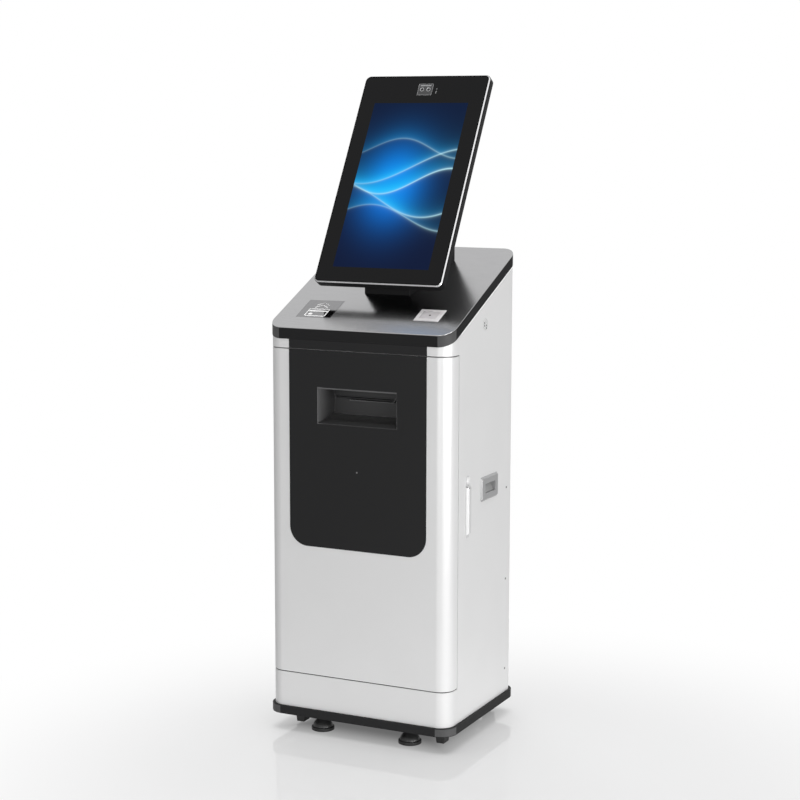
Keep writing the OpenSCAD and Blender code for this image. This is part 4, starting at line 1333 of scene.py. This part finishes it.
@dataclass
class Counter:
    """Sloping counter with its two readers."""

    origin: Tuple[float, float, float] = (0.0, -210.3423, 1048.6)
    slope: float = 24.0
    thickness: float = 27.0
    plate: float = 2.0
    corner: float = 38.15
    cap_reach: Pair = (950.0, 1300.0)
    cap_gap: float = 0.6
    bead: Pair = (348.0, 2.6)
    bead_middle: float = 234.0
    bead_drop: float = 1.5
    bead_lean: float = 20.0
    card: Pair = (-150.0, 98.0)
    mark_scale: float = 1.35
    ink: Pair = (0.02, 0.12)
    arrow: Pair = (17.5, 2.6)
    arrow_half: float = 6.4
    arrow_turn: float = 36.0
    arrow_rises: Tuple[float, ...] = (10.0, 19.0)
    scanner: Pair = (159.5, 92.0)
    window: Pair = (45.4, 35.4)
    lens: Profile = ((2.6, 0.6), (2.6, 0.9), (2.0, 1.2), (1.0, 1.4), (0.1, 1.45))

    @property
    def place(self) -> Matrix:
        """Returns the frame of the steel top: y up its slope and z out of it."""
        return sloped(self.origin, self.slope)

    def build(self) -> None:
        """Dresses the counter and fits its details."""
        soften("counter_core", 1.0 * MM, BLACK_EDGE)
        soften("counter_plate", 0.7 * MM, STEEL_TOP)
        soften("card_window", 0.3 * MM, CARD_GLASS)
        soften("scanner_frame", 0.9 * MM, PALE_FRAME, 3)
        dress("card_reader", DARK_PLASTIC)
        dress("scanner", DARK_PLASTIC)
        self.fit_card_mark()
        self.fit_scanner_window()
        self.fit_beads()
        self.fit_sheen_caps()

    def fit_sheen_caps(self) -> None:
        """Caps the counter's round corners between its underside and its steel top with lighter grey strips,
        which paint the reflection on them.
        """
        up = (self.place.to_3x3() @ Vector((0.0, 0.0, 1.0))).normalized()
        top = self.place @ Vector((0.0, 0.0, (-self.plate - self.cap_gap) * MM))
        bottom = self.place @ Vector((0.0, 0.0, (self.cap_gap - self.thickness) * MM))
        caps = corner_sheen_caps(self.corner, *self.cap_reach)
        for cap in caps:
            Bench.trim(cap, top, up)
            Bench.trim(cap, bottom, -up)
        piece = Bench.join("counter_corner_caps", caps)
        Bench.round_edges(piece, 0.15 * MM)
        Bench.fit(piece, body_of("counter_core"), "dark_plastic", CORNER_SHEEN_CAP)

    def fit_beads(self) -> None:
        """Lays a leaning bright bead along the top of each side panel, under the counter."""
        lean = Matrix.Rotation(-math.radians(self.bead_lean), 4, "X")
        beads = []
        for side in (Side.RIGHT, Side.LEFT):
            spot = self.place @ side.panel(self.bead_middle, -self.thickness - self.bead_drop) @ lean
            beads.append(Bench.plate("bead", self.bead, 1.0, -0.6, 0.3, spot, slope=(0.15, 0.15)))
        piece = Bench.join("counter_beads", beads)
        Bench.round_edges(piece, 0.0)
        Bench.fit(piece, body_of("side_panel_right"), "bright_trim", BEAD_METAL)

    def fit_card_mark(self) -> None:
        """Prints a plain card and two arrowheads on the card window."""
        spot = self.place @ shift(*self.card) @ Matrix.Scale(self.mark_scale, 4)
        marks = [
            Bench.plate("card", (44.0, 28.0), 4.0, *self.ink, spot, (0.0, -14.0), 2.2),
            Bench.plate("stripe", (40.0, 4.6), 0.0, *self.ink, spot, (0.0, -8.5)),
            Bench.plate("chip", (8.0, 6.0), 1.2, *self.ink, spot, (-11.5, -20.0)),
        ]
        for rise in self.arrow_rises:
            for side in (-1, 1):
                turn = Matrix.Rotation(-side * math.radians(self.arrow_turn), 4, "Z")
                bar = spot @ shift(side * self.arrow_half, rise) @ turn
                marks.append(Bench.plate("arrow", self.arrow, 1.2, *self.ink, bar))
        Bench.fit(Bench.join("card_mark", marks), body_of("card_window"), "light_plastic", PRINTED_WHITE)

    def fit_scanner_window(self) -> None:
        """Sets the scanner's frosted window and its lens into the frame."""
        spot = self.place @ shift(*self.scanner)
        window = Bench.plate("scanner_window", self.window, 1.5, -0.5, 0.7, spot, slope=(0.6, 0.5))
        Bench.fit(window, body_of("scanner"), "light_plastic", FROSTED_WINDOW)
        lens = Bench.turned("scanner_lens", self.lens, spot, 20)
        Bench.round_edges(lens, 0.0)
        Bench.fit(lens, body_of("scanner"), "dark_plastic", GLOSS_BLACK)


@dataclass
class Screen:
    """Touch screen on its pedestal."""

    origin: Tuple[float, float, float] = (0.0, -82.4423, 1194.1)
    slope: float = 60.0
    glass: Pair = (349.5, 594.6)
    glass_corner: float = 10.0
    glass_middle: float = 257.1
    rim: float = 4.6
    rim_back: float = 6.0
    sleeve_front: float = 1.0
    gasket: Pair = (1.2, 1.3)
    depth: float = 24.0
    camera: Pair = (2.6, 516.3)
    bezel: Pair = (41.6, 33.6)
    lens_step: float = 18.5
    lens_ring: Profile = ((5.6, -0.2), (5.6, 0.3), (5.2, 0.5), (4.7, 0.45), (4.3, 0.1), (0.3, 0.05))
    lens_eye: Profile = ((4.1, 0.1), (3.8, 0.3), (2.8, 0.6), (1.5, 0.75), (0.2, 0.8))
    sensor_bar: Pair = (31.0, 3.4)
    sensor_rise: float = 11.6
    indicator: Pair = (35.0, 508.0)
    indicator_step: float = 10.0
    screw: Pair = (3.4, 1.5)
    cover: Pair = (268.0, 190.0)
    cover_rise: float = 425.0
    cover_thickness: float = 2.4
    vent: Pair = (96.0, 3.4)
    vent_steps: Pair = (58.0, 12.0)
    cover_screws: Pair = (125.0, 86.0)
    back_screws: Tuple[float, ...] = (-20.0, 150.0, 340.0, 535.0)
    back_screws_out: float = 160.0
    stand_rear: Pair = (136.7, 1318.0)
    stand_cover: Pair = (156.0, 160.0)
    stand_thickness: float = 1.8
    stand_screws: Pair = (68.0, 70.0)

    @property
    def place(self) -> Matrix:
        """Returns the frame of the glass front: y up its slope and z out of it."""
        return sloped(self.origin, self.slope)

    def build(self) -> None:
        """Dresses the screen and fits its details."""
        glass = CoverGlass("lit_cover_glass", tuple(self.place.translation), math.radians(self.slope))
        soften("pedestal", 1.0 * MM, BLACK_PAINT)
        soften("screen_back", 1.5 * MM, HOUSING_BLACK)
        dress("screen_glass", glass)
        dress("display_panel", DARK_PLASTIC)
        dress("camera_module", SPECKLED)
        self.fit_rim()
        self.fit_camera()
        self.fit_back()
        self.fit_pedestal_cover()

    def outline(self, name: str, offset: float, low: float, high: float, line: float = 0.0,
                slope: Pair = (0.0, 0.0)) -> bpy.types.Object:
        """Draws the glass outline, grown by an offset in millimetres, as a plate or a border.

        Args:
            name: The piece's name.
            offset: How far it stands out round the glass.
            low: Height of its underside over the glass front.
            high: Height of its top.
            line: The border's width, or 0 for a full plate.
            slope: How far the top's edge runs in, and over what height.

        Returns:
            The piece.
        """
        size = (self.glass[0] + 2 * offset, self.glass[1] + 2 * offset)
        return Bench.plate(name, size, self.glass_corner + offset, low, high, self.place,
                           (0.0, self.glass_middle), line, slope, 10)

    def fit_rim(self) -> None:
        """Builds the rim as a bright bevel between a dark gasket and a dark sleeve."""
        inner, outer = self.gasket
        bright = self.rim - self.sleeve_front
        bevel = self.outline("screen_bevel", bright, -bright, 0.0, 0.0, (bright - outer, bright - 0.05))
        Bench.cut(bevel, self.outline("opening", outer - 0.3, -2 * self.rim, self.rim))
        Bench.fit(bevel, body_of("screen_rim"), SLOTS["screen_rim"], TRIM, "screen_rim")
        sleeve = self.outline("screen_sleeve", self.rim - 0.02, -self.rim_back, -bright, self.rim - 0.1)
        Bench.fit(sleeve, body_of("screen_rim"), "black_paint", BLACK_GLOSS)
        seal = self.outline("screen_gasket", outer, -1.0, 0.06, inner + outer)
        Bench.fit(seal, body_of("screen_rim"), "dark_plastic", SEAL_BLACK)

    def fit_camera(self) -> None:
        """Frames the camera window and fits its lenses, its sensor bar and a small indicator."""
        spot = self.place @ shift(*self.camera)
        body = body_of("camera_module")
        bezel = Bench.plate("camera_bezel", self.bezel, 2.6, -0.4, 0.14, spot, line=1.0)
        Bench.fit(bezel, body, "light_plastic", GREY_PLASTIC)
        ring = Bench.turned("ring", self.lens_ring)
        Bench.round_edges(ring, 0.0)
        moves = [spot @ shift(side * self.lens_step / 2, 0.0) for side in (-1, 1)]
        Bench.fit(Bench.spread(ring, "camera_lens_rings", moves), body, "plain_steel", PLATED_STEEL)
        eye = Bench.turned("eye", self.lens_eye)
        Bench.round_edges(eye, 0.0)
        Bench.fit(Bench.spread(eye, "camera_lenses", moves), body, "dark_plastic", GLOSS_BLACK)
        bar = Bench.plate("camera_sensor_bar", self.sensor_bar, 1.6, -0.2, 0.12, spot,
                          (0.0, self.sensor_rise))
        Bench.fit(bar, body, "light_plastic", GREY_PLASTIC)
        spot = self.place @ shift(*self.indicator)
        pill = Bench.plate("pill", (2.0, 8.0), 0.95, 0.0, 0.1, spot)
        dot = Bench.plate("dot", (2.4, 2.4), 1.15, 0.0, 0.1, spot @ shift(0.0, self.indicator_step))
        mark = Bench.join("touch_indicator", [pill, dot])
        Bench.fit(mark, body_of("screen_glass"), "light_plastic", GREY_PLASTIC)

    def fit_back(self) -> None:
        """Fits the vented cover and the screws of the rear housing."""
        back = self.place @ shift(0.0, 0.0, -self.depth) @ Matrix.Rotation(math.pi, 4, "Y")
        rise, top = self.cover_rise, self.cover_thickness
        cover = Bench.plate("screen_rear_cover", self.cover, 8.0, -0.4, top, back,
                            (0.0, rise), slope=(0.8, 0.8))
        slot = Bench.plate("slot", self.vent, 1.6, 0.4, 5.0)
        wide, tall = self.vent_steps
        moves = [back @ shift(i * wide, rise + k * tall) for i in (-1, 1) for k in range(-6, 7)]
        Bench.cut(cover, Bench.spread(slot, "slots", moves))
        Bench.round_edges(cover, 0.0)
        Bench.fit(cover, body_of("screen_back"), SLOTS["screen_back"], DARK_PLASTIC)
        wide, tall = self.cover_screws
        moves = [back @ shift(i * wide, rise + k * tall, top) for i in (-1, 1) for k in (-1, 1)]
        moves += [back @ shift(i * self.back_screws_out, up) for i in (-1, 1) for up in self.back_screws]
        heads = Bench.spread(cross_screw(*self.screw), "screen_screws", moves)
        Bench.fit(heads, body_of("screen_back"), "plain_steel", PLATED_STEEL)

    def fit_pedestal_cover(self) -> None:
        """Closes the pedestal's rear with a screwed cover."""
        back = Side.REAR.at(0.0, *self.stand_rear)
        top = self.stand_thickness
        cover = Bench.plate("pedestal_cover", self.stand_cover, 7.0, -0.3, top, back, slope=(0.7, 0.7))
        Bench.fit(cover, body_of("pedestal"), SLOTS["pedestal"], BLACK_PAINT)
        wide, tall = self.stand_screws
        moves = [back @ shift(i * wide, k * tall, top) for i in (-1, 1) for k in (-1, 1)]
        heads = Bench.spread(cross_screw(*self.screw), "pedestal_screws", moves)
        Bench.fit(heads, body_of("pedestal"), "plain_steel", PLATED_STEEL)


@dataclass
class Door:
    """Front door with its black panel and paper recess."""

    lip_width: float = 124.0
    lip_front: float = -130.3
    lip_height: float = 863.0
    hem_height: float = 2.6
    flag: Pair = (15.0, 2.2)
    flag_turn: float = 58.0
    recess: Tuple[float, float, float] = (219.0, 90.4, 856.1)
    returns: Pair = (11.0, 3.2)
    slot: Tuple[float, float, float] = (213.0, -119.0, 868.1)
    brush: Pair = (4.2, 2.9)
    rib: Pair = (34.0, 590.0)
    rib_spots: Tuple[float, ...] = (-160.0, 160.0)
    rib_back: Pair = (-208.4, 480.0)
    rib_slope: Pair = (7.0, 7.5)

    def build(self) -> None:
        """Dresses the door and fits its details."""
        soften("door_skin", 0.5 * MM, WHITE)
        soften("door_panel", 0.4 * MM, BLACK_SHEET)
        soften("paper_chute", 0.6 * MM, CHUTE_PLASTIC, 3)
        soften("status_light", 0.3 * MM, LIGHT_PIPE)
        soften("door_keeper", 0.5 * MM, PLATED_STEEL)
        soften("hinge_door_leaves", 0.3 * MM, WHITE)
        self.fit_lip()
        self.fit_brushes()
        self.fit_returns()
        self.fit_stiffeners()

    def fit_lip(self) -> None:
        """Hems the paper lip with a bent metal strip whose right end turns up."""
        place = Side.FRONT.at(0.0, self.lip_front, self.lip_height)
        hem = Bench.plate("hem", (self.lip_width, self.hem_height), 0.4, -0.4, 0.8, place, (0.0, -1.0))
        turn = Matrix.Rotation(math.radians(self.flag_turn), 4, "Z")
        end = place @ shift(self.lip_width / 2, 0.0) @ turn
        flag = Bench.plate("flag", self.flag, 0.4, -6.0, 0.8, end, (7.0, 0.0))
        strip = Bench.join("paper_lip_hem", [hem, flag])
        Bench.round_edges(strip, 0.3 * MM)
        Bench.fit(strip, body_of("paper_chute"), "plain_steel", LIP_COAT)

    def fit_brushes(self) -> None:
        """Sets a dust brush along the upper and the lower edge of the paper slot; the dark strips are partly
        painted shade inside the slot.
        """
        width, y, z = self.slot
        height, step = self.brush
        place = Side.FRONT.at(0.0, y, z)
        strips = [Bench.plate("brush", (width, height), 0.3, 0.0, 0.8, place, (0.0, side * step))
                  for side in (-1, 1)]
        Bench.fit(Bench.join("slot_brushes", strips), body_of("paper_chute"), "dark_plastic", DARK_PLASTIC)

    def fit_returns(self) -> None:
        """Folds the panel's edge back along the left side and the top of the recess."""
        width, height, middle = self.recess
        deep, tall = self.returns
        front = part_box("paper_chute")[0][1] / MM
        side = Bench.plate("side", (deep, height - 1.0), 0.3, 0.0, 0.4,
                           Side.RIGHT.at(-width / 2, front + deep / 2 + 0.5, middle))
        head = Bench.plate("head", (width - 1.0, tall), 0.3, 0.0, 0.4,
                           Side.FRONT.at(0.0, front + 2.0, middle + (height - tall) / 2))
        piece = Bench.join("recess_returns", [side, head])
        Bench.fit(piece, body_of("paper_chute"), "black_paint", RETURN_GREY)

    def fit_stiffeners(self) -> None:
        """Welds two pressed stiffeners inside the door."""
        moves = [Side.REAR.at(x, *self.rib_back) for x in self.rib_spots]
        rib = Bench.plate("rib", self.rib, 4.0, 0.0, 9.0, slope=self.rib_slope)
        Bench.round_edges(rib, 0.0)
        ribs = Bench.spread(rib, "door_stiffeners", moves)
        Bench.fit(ribs, body_of("door_skin"), SLOTS["door_skin"], WHITE)


@dataclass
class Lock:
    """Lever lock on the right side."""

    tip_slope: float = 7.0
    front_slope: float = 6.0
    spindle: Tuple[float, float, float] = (254.5, -103.34, 677.0)
    dome: Profile = ((10.0, 0.0), (10.0, 1.6), (9.4, 2.9), (8.0, 4.1), (6.0, 5.0), (3.4, 5.6), (0.3, 5.8))

    def build(self) -> None:
        """Dresses the lock and shapes its lever."""
        # Painted shade: the backplate's grey outlines the lever as its shadow would.
        soften("lock_backplate", 0.4 * MM, BACKPLATE_SHADE_GREY)
        soften("lock_spindle", 0.8 * MM, LEVER_COAT, 3)
        dress("lock_hook", PLATED_STEEL)
        dress("lever_pin", PLATED_STEEL)
        self.fit_lever()
        self.fit_cap()

    def fit_cap(self) -> None:
        """Turns the domed cap over the lock's spindle."""
        cap = Bench.turned("lock_cap", self.dome, Side.RIGHT.at(*self.spindle))
        Bench.round_edges(cap, 0.0)
        Bench.fit(cap, body_of("lock_spindle"), SLOTS["lock_spindle"], WHITE)

    def fit_lever(self) -> None:
        """Rounds the lever's long edges and slopes its free end."""
        lever = Bench.copy_node("lock_lever", "lock_lever_soft")
        low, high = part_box("lock_lever")
        tip = Vector((high[0], 0.0, low[2] + self.tip_slope * MM))
        front = Vector((high[0], low[1] + self.front_slope * MM, 0.0))
        for spot, way in ((tip, (0.5, 0.0, -0.87)), (front, (0.72, -0.69, 0.0))):
            Bench.trim(lever, spot, Vector(way))
        Bench.round_edges(lever, 0.7 * MM, 3)
        Bench.fit(lever, body_of("lock_lever"), SLOTS["lock_lever"], LEVER_COAT, "lock_lever")


@dataclass
class Undercarriage:
    """Levelling feet and casters."""

    corners: Tuple[str, ...] = ("front_left", "front_right", "rear_left", "rear_right")
    foot_profile: Profile = (
        (27.4, 0.0), (29.4, 1.0), (29.6, 2.2), (29.6, 8.2), (29.0, 9.2), (27.6, 9.6), (26.4, 9.6),
        (25.8, 10.2), (25.2, 13.0), (23.8, 17.0), (21.4, 21.0), (18.2, 25.0), (15.0, 28.6),
        (12.8, 31.6), (12.0, 33.4), (11.0, 34.0), (0.4, 34.0),
    )
    stud: Pair = (30.0, 61.0)
    thread: Tuple[float, float, float] = (4.4, 5.0, 1.0)
    shield: Pair = (18.0, 26.0)
    shield_gap: float = 1.4

    def build(self) -> None:
        """Dresses the casters and turns the feet."""
        soften("caster_plates", 0.4 * MM, PLATED_STEEL)
        for corner in self.corners:
            soften("caster_fork_" + corner, 0.8 * MM, CASTER_NYLON)
            soften("caster_wheel_" + corner, 0.8 * MM, CASTER_NYLON)
            self.fit_shield(corner)
        self.fit_feet()

    def fit_shield(self, corner: str) -> None:
        """Closes the front of one caster's fork with a shield.

        Args:
            corner: The caster's corner.
        """
        node = "caster_fork_" + corner
        low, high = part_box("caster_wheel_" + corner)
        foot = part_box(node)[0]
        width, height = self.shield
        middle = (low[0] + high[0]) / 2 / MM
        place = Side.FRONT.at(middle, low[1] / MM - self.shield_gap, foot[2] / MM + height / 2)
        shield = Bench.plate(node + "_shield", (width, height), 1.5, 0.0, 0.8, place, slope=(0.3, 0.3))
        Bench.fit(shield, body_of(node), SLOTS[node], CASTER_NYLON)

    def fit_feet(self) -> None:
        """Turns one foot and one threaded stud, and copies them to the four corners."""
        foot = Bench.turned("foot", self.foot_profile, None, 48)
        Bench.round_edges(foot, 0.0, 2, 30.0)
        root, crest, pitch = self.thread
        height, top = self.stud
        steps = [(root, height)]
        while height < top - 2 * pitch:
            steps += [(crest, height + 0.3 * pitch), (root, height + 0.8 * pitch)]
            height += pitch
        steps += [(root, top - 0.2), (0.4, top)]
        stud = Bench.turned("stud", steps, None, 32)
        Bench.round_edges(stud, 0.0, 2, 30.0)
        for corner in self.corners:
            node = "foot_" + corner
            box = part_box(node)
            spot = Matrix.Translation(((box[0][0] + box[1][0]) / 2, (box[0][1] + box[1][1]) / 2, 0.0))
            for shape, name, finish, nodes in ((foot, node + "_turned", FOOT_NYLON, (node,)),
                                               (stud, node + "_stud", PLATED_STEEL, ())):
                piece = Bench.join(name, [Bench.copy(shape, spot)])
                slot = SLOTS[node] if nodes else "plain_steel"
                Bench.fit(piece, body_of(node), slot, finish, *nodes)
        for shape in (foot, stud):
            Bench.drop(shape)


@dataclass
class Inside:
    """Printer, computer and power supply behind the door."""

    printer_front: float = -106.8
    panel: Pair = (120.0, 30.0)
    panel_middle: Pair = (118.0, 900.0)
    display: Pair = (44.0, 18.0)
    display_middle: Pair = (90.0, 900.0)
    key: Profile = ((4.2, 2.5), (4.2, 4.0), (3.6, 4.6), (0.4, 4.8))
    keys: Tuple[float, ...] = (128.0, 141.0, 154.0, 167.0)
    trim: Pair = (372.0, 1.4)
    trim_heights: Tuple[float, ...] = (652.0, 790.0)
    case_front: float = -80.3
    case_top: float = 94.0
    port: Pair = (14.0, 6.6)
    ports: Tuple[float, ...] = (-160.0, -138.0)
    port_height: float = 66.0
    power_key: Profile = ((6.0, -0.3), (6.0, 0.8), (5.4, 1.2), (4.8, 0.9), (0.4, 0.9))
    power_key_spot: Pair = (-45.0, 68.0)
    vent: Pair = (90.0, 3.0)
    vent_middle: float = -105.0
    hoops: Tuple[float, ...] = (7.0, 13.0, 19.0)
    hoop_middle: Pair = (75.0, 74.0)

    def build(self) -> None:
        """Dresses what the cabinet holds and fits its details."""
        soften("printer_shelf", 0.5 * MM, PLATED_STEEL)
        soften("printer_body", 2.0 * MM, DARK_PLASTIC)
        soften("paper_cassette", 1.2 * MM, TRAY_PLASTIC)
        dress("exit_drive_roller", RUBBER)
        dress("exit_pinch_roller", RUBBER)
        soften("computer", 1.5 * MM, ALLOY_CASE)
        soften("power_supply", 1.5 * MM, ALLOY_CASE)
        self.fit_printer_panel()
        self.fit_cases()

    def fit_printer_panel(self) -> None:
        """Fits the printer's control panel, its keys and the trim lines of its front."""
        front = Side.FRONT.at(0.0, self.printer_front, 0.0)
        body = body_of("printer_body")
        panel = Bench.plate("printer_panel", self.panel, 5.0, -0.5, 3.0, front,
                            self.panel_middle, slope=(1.2, 1.0))
        Bench.round_edges(panel, 0.0)
        Bench.fit(panel, body, "dark_plastic", GREY_PLASTIC)
        window = Bench.plate("printer_display", self.display, 1.5, 2.8, 3.3, front, self.display_middle)
        Bench.fit(window, body, "dark_plastic", GLOSS_BLACK)
        key = Bench.turned("key", self.key, None, 24)
        moves = [front @ shift(x, self.panel_middle[1]) for x in self.keys]
        Bench.fit(Bench.spread(key, "printer_keys", moves), body, "light_plastic", TRAY_PLASTIC)
        lines = [Bench.plate("line", self.trim, 0.0, -0.5, 0.25, front, (0.0, z)) for z in self.trim_heights]
        Bench.fit(Bench.join("printer_trim_lines", lines), body, "dark_plastic", GLOSS_BLACK)

    def fit_cases(self) -> None:
        """Fits the computer's ports, power key and vents, and the power supply's grille."""
        front = Side.FRONT.at(0.0, self.case_front, 0.0)
        ports = [Bench.plate("port", self.port, 0.8, -0.4, 0.5, front, (x, self.port_height), 1.0)
                 for x in self.ports]
        ports.append(Bench.turned("power_key", self.power_key, front @ shift(*self.power_key_spot)))
        Bench.fit(Bench.join("computer_ports", ports), body_of("computer"), "plain_steel", PLATED_STEEL)
        slots = [Bench.plate("vent", self.vent, 1.4, -0.4, 0.15, shift(self.vent_middle, y, self.case_top))
                 for y in range(-40, 61, 10)]
        Bench.fit(Bench.join("computer_vents", slots), body_of("computer"), "dark_plastic", GLOSS_BLACK)
        grille = [Bench.plate("hoop", (2 * r, 2 * r), r - 0.05, -0.4, 0.9, front,
                              self.hoop_middle, 1.2, steps=10) for r in self.hoops]
        Bench.fit(Bench.join("supply_grille", grille), body_of("power_supply"), "plain_steel", PLATED_STEEL)


def main() -> None:
    """Builds the scene, one sub-assembly after another."""
    logging.basicConfig(level=logging.INFO, format="%(name)s: %(message)s")
    bpy.context.scene.view_settings.view_transform = "Standard"
    Studio().build()
    for part in (Cabinet(), Counter(), Screen(), Door(), Lock(), Undercarriage(), Inside()):
        log.info("building %s", type(part).__name__)
        part.build()


if __name__ == "__main__":
    main()
